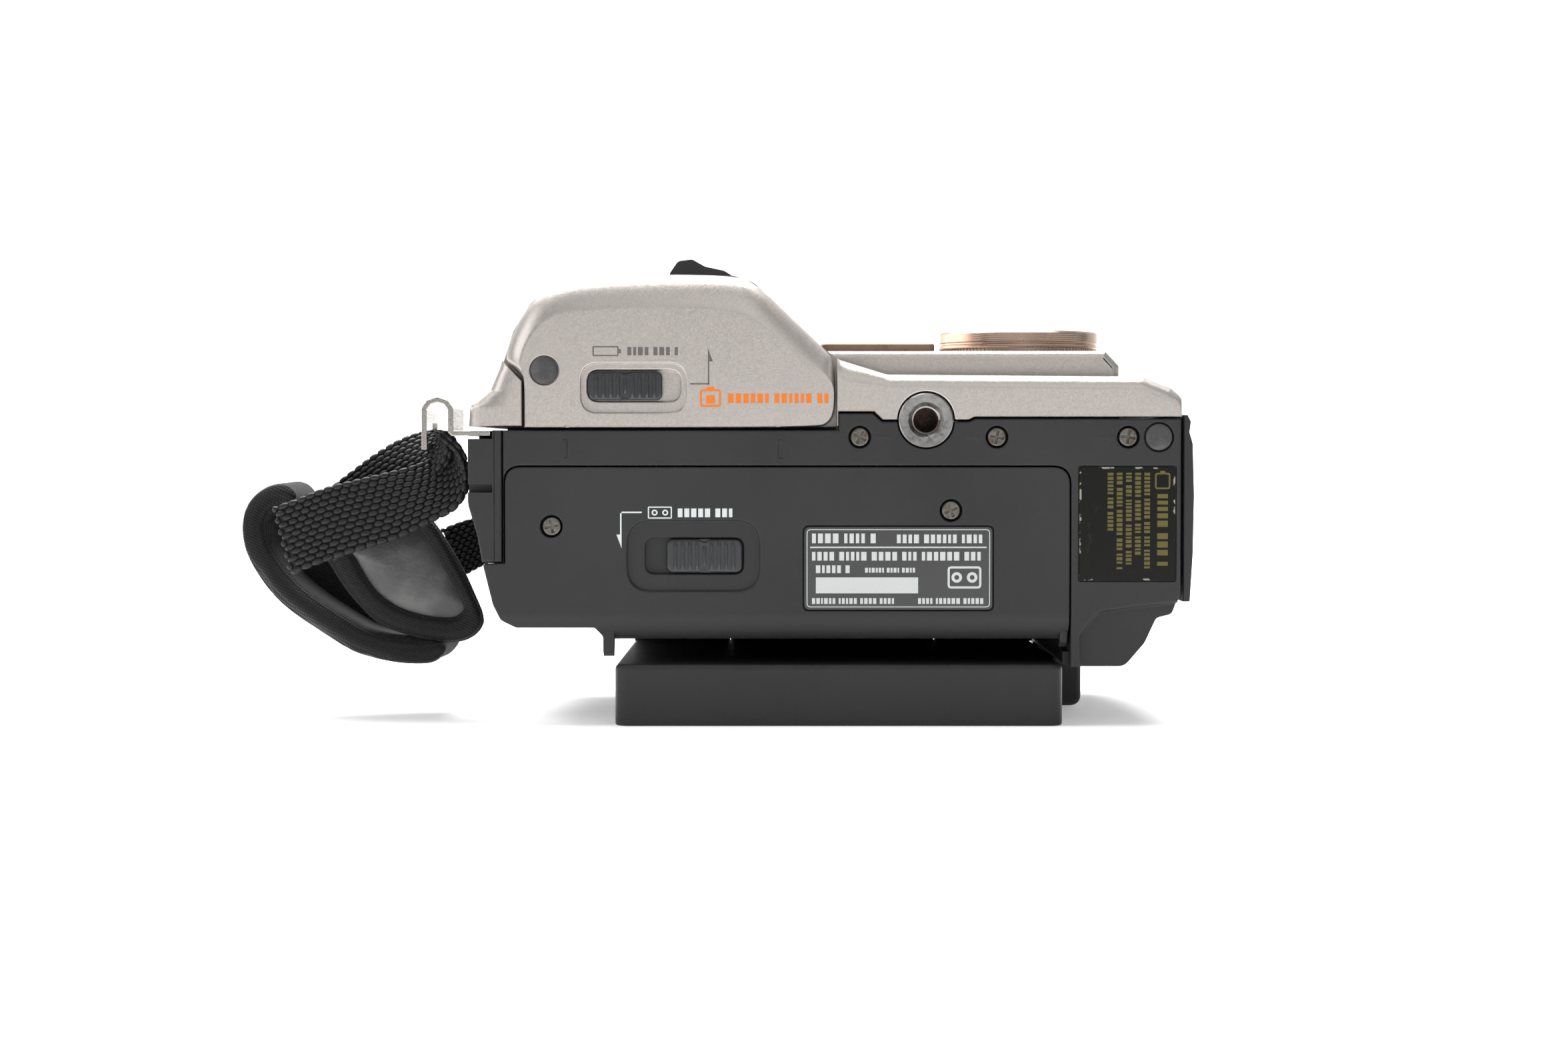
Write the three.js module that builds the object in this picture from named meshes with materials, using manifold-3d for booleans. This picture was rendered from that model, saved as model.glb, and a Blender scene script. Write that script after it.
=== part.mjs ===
// A pocket tape camcorder that lies on its screen, with its underside facing -Y.
// Millimetres. +Z is the way the lens looks, +X is the lens side, -X the hand-strap side.
// The origin is the centre of the screen window, on the surface that the camcorder lies on.
import * as THREE from 'three';
import { mergeVertices } from 'three/addons/utils/BufferGeometryUtils.js';
import Module from 'manifold-3d';

const wasm = await Module();
wasm.setup();

// ---------------------------------------------------------------- driving dimensions
const NEAR = -43; // underside of the body
const FAR = 40; // top of the body
const GAP = 0.3; // clearance between neighbouring pieces
const WALL = 2.4; // moulded wall thickness
const PAST = 1; // how far a cutter runs past the face it cuts

const PANEL = { half: 46.6, thick: 12.8, far: 32.6, bezel: 4.6, glass: 1.2 };
const SCREEN = { halfX: 36.5, nearY: -33.5, farY: 21.5 };
const TILT = { y: 37.2, z: 8.4, pin: 1.5, knuckle: 3.6, inner: 24, outer: 40 };

const LID = { left: -69.2, right: 47.8, top: 53.8, hingeY: -37.5, hingeZ: 23.3, curl: 5.5 };
const CARRIAGE = { x: -14, near: -38.2, far: 10, low: 32.6, high: 50.6, wall: 1.6 };
const POCKET = { wide: 67, thick: 13.2 };
const DRUM = { x: -14, y: 22, radius: 10.85, low: 33, high: 50 };

const GRIP = { lidDepth: 6, bayLeft: -61, bayRight: -21, bayLow: 65.6, bayHigh: 87.4, bayFar: 34.4 };
const BATTERY = { wide: 38.4, high: 20.6, long: 69.4 };
const LIDPIN = { y: -36.85, z: 92.2, radius: 0.8, sweep: 2.8 };

const LENS = { x: 40, y: -8, ring: 17.5, barrel: 13.2, low: 30, top: 82.9 };
const HOUSING = { left: -5, right: 58.9, top: 78.1, near: -36, far: 34 };
const TRIPOD = { x: 18, z: 63.5, ring: 5.65, hole: 3.1, deep: 13 };
const SCREW = { head: 2.1, shank: 1, recess: 2.35, sunk: 0.7 };
const FOOT = { radius: 2.75, thick: 1.3, proud: 0.4 };
const ZOOM = { x: -32, z: 79.5, inner: 7.4, outer: 11, tip: 102.6, thick: 2.8 };
const DIAL = { x: -52, z: 46, radius: 8.5, thick: 3.2 };
const BAIL = { near: -41, far: -22.6 };
const JACK = { x: 71.5, low: 25.8, high: 64.6, near: -42, far: 14 };

// ---------------------------------------------------------------- helpers
// Corners [u, v, radius] become a closed outline whose corners are rounded.
function outline(corners, steps = 4) {
  const points = [];
  corners.forEach(([u, v, radius = 0], i) => {
    const here = new THREE.Vector2(u, v);
    if (radius === 0) {
      points.push(here);
      return;
    }
    const back = corners[(i + corners.length - 1) % corners.length];
    const next = corners[(i + 1) % corners.length];
    const toBack = new THREE.Vector2(back[0], back[1]).sub(here).normalize();
    const toNext = new THREE.Vector2(next[0], next[1]).sub(here).normalize();
    const half = Math.acos(THREE.MathUtils.clamp(toBack.dot(toNext), -1, 1)) / 2;
    const reach = radius / Math.tan(half);
    const start = here.clone().addScaledVector(toBack, reach);
    const end = here.clone().addScaledVector(toNext, reach);
    for (const point of new THREE.QuadraticBezierCurve(start, here, end).getPoints(steps)) {
      points.push(point);
    }
  });
  return points;
}

// A rectangle with round corners, as outline corners.
function rectangle(u0, u1, v0, v1, radius = 0) {
  return [[u0, v0, radius], [u1, v0, radius], [u1, v1, radius], [u0, v1, radius]];
}

// The same outline moved inwards by a distance.
function inset(points, distance) {
  const turn = THREE.ShapeUtils.area(points) > 0 ? 1 : -1;
  return points.map((point, i) => {
    const back = points[(i + points.length - 1) % points.length];
    const next = points[(i + 1) % points.length];
    const a = point.clone().sub(back).normalize();
    const b = next.clone().sub(point).normalize();
    const normalA = new THREE.Vector2(-a.y, a.x).multiplyScalar(turn);
    const normalB = new THREE.Vector2(-b.y, b.x).multiplyScalar(turn);
    const mitre = normalA.add(normalB);
    const scale = distance * 2 / Math.max(mitre.lengthSq(), 1);
    return point.clone().addScaledVector(mitre, scale);
  });
}

// The triangles that fill an outline, found by cutting off ears; every point is used.
function fill(points) {
  const turn = THREE.ShapeUtils.area(points) > 0 ? 1 : -1;
  const area = (a, b, c) => turn * ((b.x - a.x) * (c.y - a.y) - (c.x - a.x) * (b.y - a.y));
  const left = points.map((_, i) => i);
  const triangles = [];
  while (left.length > 3) {
    let best = null;
    left.forEach((here, i) => {
      const [back, next] = [left.at(i - 1), left[(i + 1) % left.length]];
      const [a, b, c] = [points[back], points[here], points[next]];
      const size = area(a, b, c);
      const longest = Math.max(a.distanceTo(b), b.distanceTo(c), c.distanceTo(a));
      const shape = size / (longest * longest + 1e-12);
      if (shape < -1e-9 || (best && best.shape >= shape)) {
        return;
      }
      const blocked = left.some((k) => k !== back && k !== here && k !== next
        && area(a, b, points[k]) > -1e-9 && area(b, c, points[k]) > -1e-9 && area(c, a, points[k]) > -1e-9);
      if (!blocked) {
        best = { i, shape, triangle: [back, here, next] };
      }
    });
    if (!best) {
      throw new Error('an outline crosses itself');
    }
    triangles.push(best.triangle);
    left.splice(best.i, 1);
  }
  triangles.push(left);
  return turn > 0 ? triangles : triangles.map(([a, b, c]) => [a, c, b]);
}

const PLACE = {
  x: (u, v, t) => [t, u, v],
  y: (u, v, t) => [u, t, v],
  z: (u, v, t) => [u, v, t],
};

// Rings of matching 2D points, each at its own height along an axis, become a closed solid.
function loft(rings, axis = 'y') {
  const count = rings[0].points.length;
  const positions = [];
  for (const ring of rings) {
    for (const point of ring.points) {
      positions.push(...PLACE[axis](point.x, point.y, ring.at));
    }
  }
  const index = [];
  const turn = THREE.ShapeUtils.area(rings[0].points) > 0;
  for (let r = 0; r + 1 < rings.length; r += 1) {
    for (let i = 0; i < count; i += 1) {
      const j = (i + 1) % count;
      const [a, b] = turn ? [r * count + i, r * count + j] : [r * count + j, r * count + i];
      index.push(a, b, b + count, a, b + count, a + count);
    }
  }
  const last = (rings.length - 1) * count;
  for (const [a, b, c] of fill(rings[0].points)) {
    index.push(a, c, b);
  }
  for (const [a, b, c] of fill(rings.at(-1).points)) {
    index.push(a + last, b + last, c + last);
  }
  return solidFrom(positions, index);
}

// Raw triangles become a manifold solid whose faces point outwards.
function solidFrom(positions, index) {
  let volume = 0;
  const corner = (i) => new THREE.Vector3().fromArray(positions, index[i] * 3);
  for (let i = 0; i < index.length; i += 3) {
    volume += corner(i).dot(corner(i + 1).cross(corner(i + 2)));
  }
  const triangles = volume > 0 ? index : index.slice().reverse();
  return new wasm.Manifold(new wasm.Mesh({
    numProp: 3,
    vertProperties: Float32Array.from(positions),
    triVerts: Uint32Array.from(triangles),
  }));
}

// A three.js geometry becomes a manifold solid.
function solid(geometry) {
  const bare = geometry.clone();
  for (const name of ['normal', 'uv']) {
    bare.deleteAttribute(name);
  }
  const merged = mergeVertices(bare, 1e-4);
  return solidFrom(Array.from(merged.attributes.position.array), Array.from(merged.index.array));
}

// An outline extruded along an axis, with rounded edges of a given radius at either end.
function slab(points, from, to, { axis = 'y', start = 0, end = 0, steps = 3 } = {}) {
  const rings = [];
  for (let i = 0; start > 0 && i < steps; i += 1) {
    const angle = Math.PI / 2 * i / steps;
    const reach = start * (1 - Math.sin(angle));
    rings.push({ points: inset(points, reach), at: from + start * (1 - Math.cos(angle)) });
  }
  rings.push({ points, at: from + start });
  if (to - end - from - start > 1e-6) {
    rings.push({ points, at: to - end });
  }
  for (let i = 1; end > 0 && i <= steps; i += 1) {
    const angle = Math.PI / 2 * i / steps;
    const reach = end * (1 - Math.cos(angle));
    rings.push({ points: inset(points, reach), at: to - end + end * Math.sin(angle) });
  }
  return loft(rings, axis);
}

function box(x0, x1, y0, y1, z0, z1) {
  const geometry = new THREE.BoxGeometry(x1 - x0, y1 - y0, z1 - z0);
  return solid(geometry.translate((x0 + x1) / 2, (y0 + y1) / 2, (z0 + z1) / 2));
}

// A round rod along an axis, centred on (u, v) in the other two coordinates.
function rod(axis, u, v, from, to, radius, sides = 24) {
  const circle = [];
  for (let i = 0; i < sides; i += 1) {
    const angle = 2 * Math.PI * i / sides;
    circle.push(new THREE.Vector2(u + radius * Math.cos(angle), v + radius * Math.sin(angle)));
  }
  return loft([{ points: circle, at: from }, { points: circle, at: to }], axis);
}

function ringOf(axis, u, v, from, to, outer, inner, sides = 32) {
  const bore = rod(axis, u, v, from - PAST, to + PAST, inner, sides);
  return rod(axis, u, v, from, to, outer, sides).subtract(bore);
}

const camcorder = new THREE.Group();
const groups = new Map();

// Pieces that move together share a group.
function group(name) {
  if (!groups.has(name)) {
    const made = new THREE.Group();
    groups.set(name, made);
    camcorder.add(made);
  }
  return groups.get(name);
}

function add(body, name, piece, color, roughness, metalness, at = [0, 0, 0]) {
  const mesh = piece.getMesh();
  const geometry = new THREE.BufferGeometry();
  geometry.setAttribute('position', new THREE.BufferAttribute(new Float32Array(mesh.vertProperties), 3));
  geometry.setIndex(new THREE.BufferAttribute(new Uint32Array(mesh.triVerts), 1));
  geometry.computeVertexNormals();
  const node = new THREE.Mesh(geometry, new THREE.MeshStandardMaterial({ color, roughness, metalness }));
  node.name = name;
  node.position.set(...at);
  group(body).add(node);
}

const DARK = [0x3a3c41, 0.62, 0];
const SILVER = [0xc8c1bb, 0.38, 0.7];
const KNOB = [0x32363a, 0.5, 0];
const STEEL = [0xb9b6b0, 0.3, 1];
const BLACK = [0x141414, 0.8, 0];

// ---------------------------------------------------------------- screen panel
function knuckle(x0, x1, reach) {
  const barrel = rod('x', TILT.y, TILT.z, x0, x1, TILT.knuckle, 20);
  const web = reach === 'panel'
    ? box(x0, x1, PANEL.far - 1, TILT.y, TILT.z - 1.6, TILT.z + 1.6)
    : box(x0, x1, TILT.y - 2.2, TILT.y + 2.2, TILT.z, 18);
  return barrel.add(web).subtract(rod('x', TILT.y, TILT.z, x0 - PAST, x1 + PAST, TILT.pin + GAP, 20));
}

function makeScreenPanel() {
  const plan = outline(rectangle(-PANEL.half, PANEL.half, NEAR, PANEL.far, 3.4));
  const split = PANEL.bezel;
  const inner = PANEL.half - WALL;
  const hollow = outline(rectangle(-inner, inner, NEAR + WALL, PANEL.far - WALL, 1.6));
  const casing = slab(plan, 0, PANEL.thick, { axis: 'z', start: 0.4, end: 0.9 })
    .subtract(slab(hollow, -PAST, PANEL.thick - 2, { axis: 'z' }));
  let withKnuckles = casing;
  for (const side of [-1, 1]) {
    const [x0, x1] = [side * TILT.inner + side * GAP, side * TILT.outer].sort((a, b) => a - b);
    withKnuckles = withKnuckles.add(knuckle(x0, x1, 'panel'));
  }
  add('lcd_panel', 'lcd_case', withKnuckles, ...DARK);

  const { halfX, nearY, farY } = SCREEN;
  const bezel = slab(inset(hollow, GAP), 0, split, { axis: 'z' })
    .subtract(slab(outline(rectangle(-halfX, halfX, nearY, farY, 2)), -PAST, split + PAST, { axis: 'z' }));
  add('lcd_panel', 'lcd_bezel', bezel, ...DARK);

  const pane = outline(rectangle(-halfX + GAP, halfX - GAP, nearY + GAP, farY - GAP, 1.7));
  add('lcd_panel', 'lcd_window', slab(pane, 0, PANEL.glass, { axis: 'z' }), 0x0c0e10, 0.08, 0);
  const shown = halfX - 0.6;
  const display = box(-shown, shown, nearY + 0.6, farY - 0.6, PANEL.glass + GAP, PANEL.glass + 2.8);
  add('lcd_panel', 'lcd_display', display, 0x1a1d22, 0.3, 0);
  const light = box(-halfX + 2, halfX - 2, nearY + 2, farY - 2, PANEL.glass + 3.1, 7);
  add('lcd_panel', 'lcd_backlight', light, 0xe8e8e4, 0.5, 0);
  add('lcd_panel', 'lcd_drive_board', box(-38, 38, -38, 26, 7.6, 9), 0x1f5a35, 0.6, 0);
  const pin = rod('x', TILT.y, TILT.z, -TILT.outer - 0.6, TILT.outer + 0.6, TILT.pin, 16);
  add('lcd_panel', 'lcd_hinge_pin', pin, ...STEEL);
}

// ---------------------------------------------------------------- dark body shell
// The dark shell seen from the underside; the silver shell starts GAP above its top edge.
const REAR_OUTLINE = [
  [-69.6, 61.4, 0], [-69.6, 33.7, 1], [-72.8, 33.4, 0.6], [-70.8, 25.6, 3], [-69.2, 22.2, 2],
  [-66.6, 20.8, 1],
  [-50.4, 20.8, 1], [-46.4, 18, 1], [46.9, 18, 0], [46.9, 12.3, 1], [59.4, 12.3, 3], [63.6, 17.2, 4],
  [66, 22.4, 1.5], [69.2, 23.2, 1.5], [70.8, 27.4, 3], [70.8, 63.8, 0], [28.2, 63.8, 0], [27, 63.2, 0],
  [8.9, 63.2, 0], [7, 64.9, 0], [-0.1, 64.9, 0], [-0.1, 61.4, 0],
];

function makeRearShell() {
  const shape = outline(REAR_OUTLINE, 3);
  const inside = outline([
    [-67, 59, 0], [-67, 36, 2], [-66, 25, 4], [-63, 23.4, 0], [-47, 23.4, 2], [-44, 21, 2], [48.6, 21, 0],
    [50, 15, 1], [57.6, 15, 3], [61.4, 19, 3], [64, 25, 2], [67.8, 27, 2], [67.8, 60.4, 0],
  ], 3);
  let shell = slab(shape, NEAR, FAR - 3.5, { start: 0.4, steps: 2 });
  shell = shell.subtract(slab(inside, NEAR + 3.2, FAR));

  // Room for the cassette lid, its rounded lower edge and the ears at its two ends.
  const mouth = outline([
    [-80, 0, 0], [LID.right + GAP, 0, 0], [LID.right + GAP, LID.top + GAP, 3.9],
    [LID.left - GAP, LID.top + GAP, 3.7], [LID.left - GAP, 34, 0], [-80, 34, 0],
  ]);
  shell = shell.subtract(slab(mouth, NEAR - PAST, LID.hingeY - 0.4));
  shell = shell.subtract(rod('x', LID.hingeY, LID.hingeZ, -80, LID.right + GAP, LID.curl + GAP, 32));
  for (const [x0, x1, reach] of [[-49.6, -46.4, 10.5], [45.5, LID.right + GAP, 8.2]]) {
    shell = shell.subtract(rod('x', LID.hingeY, LID.hingeZ, x0, x1, reach, 32));
  }

  // Lens barrel opening in the top wall, the tripod boss and the screw recesses.
  shell = shell.subtract(rod('z', LENS.x, LENS.y, 58, 66, LENS.barrel + 0.6, 32));
  shell = shell.subtract(tripodHole());
  for (const x of FRAME_SCREWS) {
    shell = shell.subtract(screwHole(x, FRAME_SCREW_Z));
  }
  shell = shell.subtract(footHole(RIGHT_FOOT));
  const labelSeat = outline(rectangle(49.5, 69.9, 30, 54.1, 0.6), 2);
  shell = shell.subtract(slab(labelSeat, NEAR - PAST, NEAR + 0.6));

  // The lower right corner steps back, which leaves a thin upright rib beside the lid.
  const step = outline([
    [50.1, 10, 0], [50.1, 19, 1], [54, 23.6, 2], [62, 24.8, 2], [80, 27, 0], [80, 10, 0],
  ]);
  shell = shell.subtract(slab(step, NEAR - PAST, NEAR + 1.8));

  // Skirts that close the gap above the screen panel on either side of the hinge bracket.
  for (const [x0, x1] of [[-45, -24.6], [24.6, 45]]) {
    shell = shell.add(box(x0, x1, PANEL.far + 0.5, 35, 12.3, 19.4));
  }

  // Sockets behind the cover on the lens side.
  for (const z of SOCKETS) {
    shell = shell.subtract(rod('x', SOCKET_Y, z, 66, 72, 3.6 + GAP, 24));
  }
  // Openings for the hinge bracket screws and the ribbon to the screen, in the rear wall.
  shell = shell.subtract(box(-8, 8, 22, 30, 14, 24));
  add('camera_body', 'rear_shell', shell, ...DARK);
}

const FRAME_SCREWS = [4.3, 32.7, 59.9];
const FRAME_SCREW_Z = 60;
const RIGHT_FOOT = [66.2, 60];
const LEFT_FOOT = [-61, 73.8];
const SOCKETS = [34, 44, 54];
const SOCKET_Y = -8;

// Room for the tripod socket and for a rubber foot, both along Y from the underside.
function tripodHole() {
  const { x, z, ring, deep } = TRIPOD;
  return rod('y', x, z, NEAR - PAST, NEAR + deep + 1, ring + GAP, 32);
}

function footHole([x, z]) {
  return rod('y', x, z, NEAR - PAST, NEAR + 1.2, FOOT.radius + GAP);
}

// A counterbored hole for a screw, along Y from the underside.
function screwHole(x, z) {
  const recess = rod('y', x, z, NEAR - PAST, NEAR + 2.4, SCREW.recess, 20);
  return recess.add(rod('y', x, z, NEAR, NEAR + 7, SCREW.shank + GAP, 16));
}

// A pan-head screw with a cross recess, its head at the origin facing -Y.
function screwSolid() {
  const head = rod('y', 0, 0, SCREW.sunk, SCREW.sunk + 1.4, SCREW.head, 16);
  const shank = rod('y', 0, 0, SCREW.sunk + 1, 6.4, SCREW.shank, 10);
  const floor = SCREW.sunk + 0.7;
  const cross = box(-1.3, 1.3, 0, floor, -0.3, 0.3).add(box(-0.3, 0.3, 0, floor, -1.3, 1.3));
  return head.add(shank).subtract(cross);
}

function makeScrews() {
  FRAME_SCREWS.forEach((x, i) => {
    add('camera_body', `frame_screw_${i + 1}`, screwSolid(), ...STEEL, [x, NEAR, FRAME_SCREW_Z]);
  });
  LID_SCREWS.forEach(([x, z], i) => {
    add('cassette_lid', `lid_screw_${i + 1}`, screwSolid(), ...STEEL, [x, NEAR, z]);
  });
}

const LID_SCREWS = [[-59.6, 41.5], [23.2, 44.8]];

function makeTripodSocket() {
  const { x, z, ring, hole, deep } = TRIPOD;
  const socket = rod('y', x, z, NEAR - 0.1, NEAR + deep, ring, 32)
    .subtract(rod('y', x, z, NEAR - PAST, NEAR + deep - 3, hole, 24));
  add('camera_body', 'tripod_socket', socket, ...STEEL);
}

function footSolid() {
  const { radius, thick, proud } = FOOT;
  return slab(outline(circlePoints(radius, 20)), -proud, thick - proud, { start: 0.3, steps: 2 });
}

function circlePoints(radius, sides) {
  return Array.from({ length: sides }, (_, i) => {
    const angle = 2 * Math.PI * i / sides;
    return [radius * Math.cos(angle), radius * Math.sin(angle), 0];
  });
}

function makeTopCover() {
  const shape = outline(REAR_OUTLINE, 3);
  let cover = slab(shape, FAR - 3.2, FAR, { end: 0.4, steps: 2 });
  cover = cover.subtract(rod('y', DIAL.x, DIAL.z, FAR - 1.6, FAR + PAST, DIAL.radius + GAP, 32));
  cover = cover.subtract(rod('y', DIAL.x, DIAL.z, FAR - 4, FAR, 2.3, 20));
  for (const [x, z] of TOP_BUTTONS) {
    cover = cover.subtract(rod('y', x, z, FAR - 4, FAR + PAST, 3.2 + GAP, 20));
  }
  add('camera_body', 'top_cover', cover, ...DARK);
}

const TOP_BUTTONS = [[22, 48], [36, 48]];

// ---------------------------------------------------------------- silver front shell
const FRONT_OUTLINE = [
  [-76.9, 62.2, 0], [-0.4, 62.2, 0], [-0.4, 65.2, 0], [7.2, 65.2, 0], [9, 63.5, 0], [26.9, 63.5, 0],
  [28.1, 64.1, 0], [71.2, 64.1, 0], [71.2, 68.3, 1.5], [69, 70.2, 1.5], [62.9, 72.6, 2], [10, 73, 4],
  [0.2, 76, 3], [-3.9, 79.3, 3], [-17.6, 92.4, 4], [-22, 93.9, 2], [-35, 94.1, 0], [-56.1, 93, 4],
  [-64, 88.6, 5], [-68, 82.2, 4], [-70.6, 74, 3], [-72.4, 69.8, 1], [-76.7, 66.4, 1.2],
];

// The battery lid: its edge where it meets the grip, and its flat face; the two match point by point.
const LID_EDGE = [
  [-65.4, 61.8], [-4.4, 61.8], [-1.6, 63], [-0.7, 65.8], [-0.7, 71.7], [-1.1, 76.4], [-3.9, 79.2],
  [-11, 86], [-17.6, 92.2], [-21.8, 93.6], [-35, 93.9], [-48.2, 93.5], [-57.2, 92.6],
  [-60.8, 91], [-64, 88.3],
  [-67.7, 82.4], [-69.8, 76], [-67.2, 73.9], [-65.4, 72],
];
const LID_FLAT = [
  [-65, 62.1], [-4.5, 62.1], [-2, 63.3], [-1.1, 65.9], [-1.1, 71.2], [-3.4, 73], [-6, 74.5], [-11.2, 78.9],
  [-17.6, 84.3], [-21.8, 85.9], [-35, 86.8], [-48.2, 86.3], [-57.2, 85.6], [-60.8, 84.1], [-63.8, 80.9],
  [-65.4, 77.2], [-65.9, 75], [-65.7, 73.4], [-65, 72.1],
];

function points2(list) {
  return list.map(([u, v]) => new THREE.Vector2(u, v));
}

function makeFrontShell() {
  let shell = slab(outline(FRONT_OUTLINE, 3), NEAR, FAR, { start: 0.4, end: 0.4, steps: 2 });
  const { left, right, top, near, far } = HOUSING;
  const front = outline([
    [left, 66, 0], [right, 66, 0], [right, 75, 0], [right - 2.9, top, 0], [left, top, 0],
  ]);
  shell = shell.add(slab(front, near, far, { start: 1.6, end: 1.6, steps: 2 }));

  // Battery bay with the lid in front of it, and the pocket for the brown inlay.
  const seat = NEAR + GRIP.lidDepth + GAP;
  const lidSeat = [
    [-65.7, 55], [-0.4, 55], [-0.4, 100], [-80, 100], [-80, 76.3], [-70.5, 76.3], [-67.9, 73.8],
    [-65.7, 71.6],
  ];
  shell = shell.subtract(slab(points2(lidSeat), NEAR - PAST, seat));
  shell = shell.subtract(box(GRIP.bayLeft, GRIP.bayRight, NEAR, GRIP.bayFar, GRIP.bayLow, GRIP.bayHigh));
  shell = shell.subtract(rod('x', LIDPIN.y, LIDPIN.z, -66, -12, LIDPIN.sweep, 24));
  const inlaySeat = outline(rectangle(-4, 20.6, near + 2, far - 2, 1.5));
  shell = shell.subtract(slab(inlaySeat, top - 0.9, top + PAST, { axis: 'z' }));

  // Hollow behind the lens housing, open towards the dark shell.
  shell = shell.subtract(box(3, 67, NEAR + 3.4, FAR - 3.4, 60, 69.6));
  shell = shell.subtract(box(3, 56, near + 2.6, far - 2.6, 69, 75.4));
  shell = shell.subtract(rod('z', LENS.x, LENS.y, 70, 90, LENS.barrel + 0.6, 32));
  shell = shell.subtract(tripodHole());

  // Well for the start button, on the top.
  shell = shell.subtract(rod('y', ZOOM.x, ZOOM.z, FAR - 2.6, FAR + PAST, ZOOM.inner - 0.5, 28));
  add('camera_body', 'front_shell', shell, ...SILVER);
}

function makeBatteryLid() {
  const [edge, flat] = [points2(LID_EDGE), points2(LID_FLAT)];
  const rings = [0, 0.3, 0.6, 0.85, 1].map((turn) => {
    const angle = Math.PI / 2 * turn;
    const points = flat.map((point, i) => point.clone().lerp(edge[i], Math.sin(angle)));
    return { points, at: NEAR + (GRIP.lidDepth - 0.8) * (1 - Math.cos(angle)) };
  });
  rings.push({ points: edge, at: NEAR + GRIP.lidDepth });
  let lid = loft(rings);
  lid = lid.subtract(box(-63, -20, NEAR + 3.9, NEAR + 8, 64.2, 86));
  lid = lid.subtract(box(-19, -3, NEAR + 3, NEAR + 8, 64.2, 76));
  lid = lid.subtract(rod('x', LIDPIN.y, LIDPIN.z, -60, -18, LIDPIN.radius + 0.4, 20));
  lid = lid.subtract(slab(outline(rectangle(-53.5, -31.6, 64.9, 75.3, 3.7)), NEAR - PAST, NEAR + 0.9));
  lid = lid.subtract(slab(outline(rectangle(-52.2, -32.8, 67.3, 73.9, 2.5)), NEAR - PAST, NEAR + 2));
  lid = lid.subtract(box(-48.6, -40, NEAR, NEAR + 8, 69.7, 71.5));
  lid = lid.subtract(footHole(LEFT_FOOT));
  add('battery_lid', 'battery_lid', lid, ...SILVER);
  add('battery_lid', 'rubber_foot_left', footSolid(), ...BLACK, [LEFT_FOOT[0], NEAR, LEFT_FOOT[1]]);
  add('camera_body', 'rubber_foot_right', footSolid(), ...BLACK, [RIGHT_FOOT[0], NEAR, RIGHT_FOOT[1]]);
  const pin = rod('x', LIDPIN.y, LIDPIN.z, -59.6, -18.4, LIDPIN.radius, 12);
  add('camera_body', 'battery_lid_pin', pin, ...STEEL);
  add('battery_latch', 'battery_latch', latchKnob(-51.9, -36.6, 67.6, 73.6, [-48.3, -43.8]), ...KNOB);
}

// A ribbed sliding knob with a stem through the slot of its recess.
function latchKnob(x0, x1, z0, z1, [stem0, stem1]) {
  const plan = outline(rectangle(x0, x1, z0, z1, 1.5));
  let knob = slab(plan, NEAR + 0.3, NEAR + 1.7, { start: 0.5, steps: 2 });
  const middle = (x0 + x1) / 2;
  for (let i = -2; i <= 2; i += 1) {
    const at = middle + i * 1.5;
    knob = knob.subtract(box(at - 0.35, at + 0.35, NEAR, NEAR + 0.8, z0 + 0.6, z1 - 0.6));
  }
  const heart = (z0 + z1) / 2;
  return knob.add(box(stem0, stem1, NEAR + 1.2, NEAR + 3.4, heart - 0.6, heart + 0.6));
}

// ---------------------------------------------------------------- cassette lid and tape transport
const LID_OUTLINE = [
  [LID.left, LID.top, 3.4], [LID.left, 33.8, 0], [-73.9, 33.7, 0.6], [-71.8, 25.2, 3], [-70.2, 22, 2],
  [-67, 20.4, 1], [-50.7, 20.4, 1], [-49.2, 18.6, 1], [-49, 15, 0.6], [-47.6, 13.4, 0.4],
  [-46.8, 14.4, 0.5], [-46, 17.9, 0.6], [45.9, 17.9, 0.4], [46.2, 15.8, 0.4],
  [47.4, 15.6, 0.4], [LID.right, 23.4, 0],
  [LID.right, LID.top, 3.6],
];

// The lid's section across its width: a flat face that curls round the hinge line.
function lidSection(thick) {
  const { hingeY, hingeZ, curl, top } = LID;
  const points = [];
  const arc = (radius, from, to) => {
    for (let i = 0; i <= 8; i += 1) {
      const angle = from + (to - from) * i / 8;
      points.push([hingeY + radius * Math.cos(angle), hingeZ + radius * Math.sin(angle), 0]);
    }
  };
  points.push([NEAR + thick, top + PAST, 0], [NEAR, top + PAST, 0]);
  arc(curl, Math.PI, 1.5 * Math.PI);
  arc(curl - thick, 1.5 * Math.PI, Math.PI);
  return outline(points);
}

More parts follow.
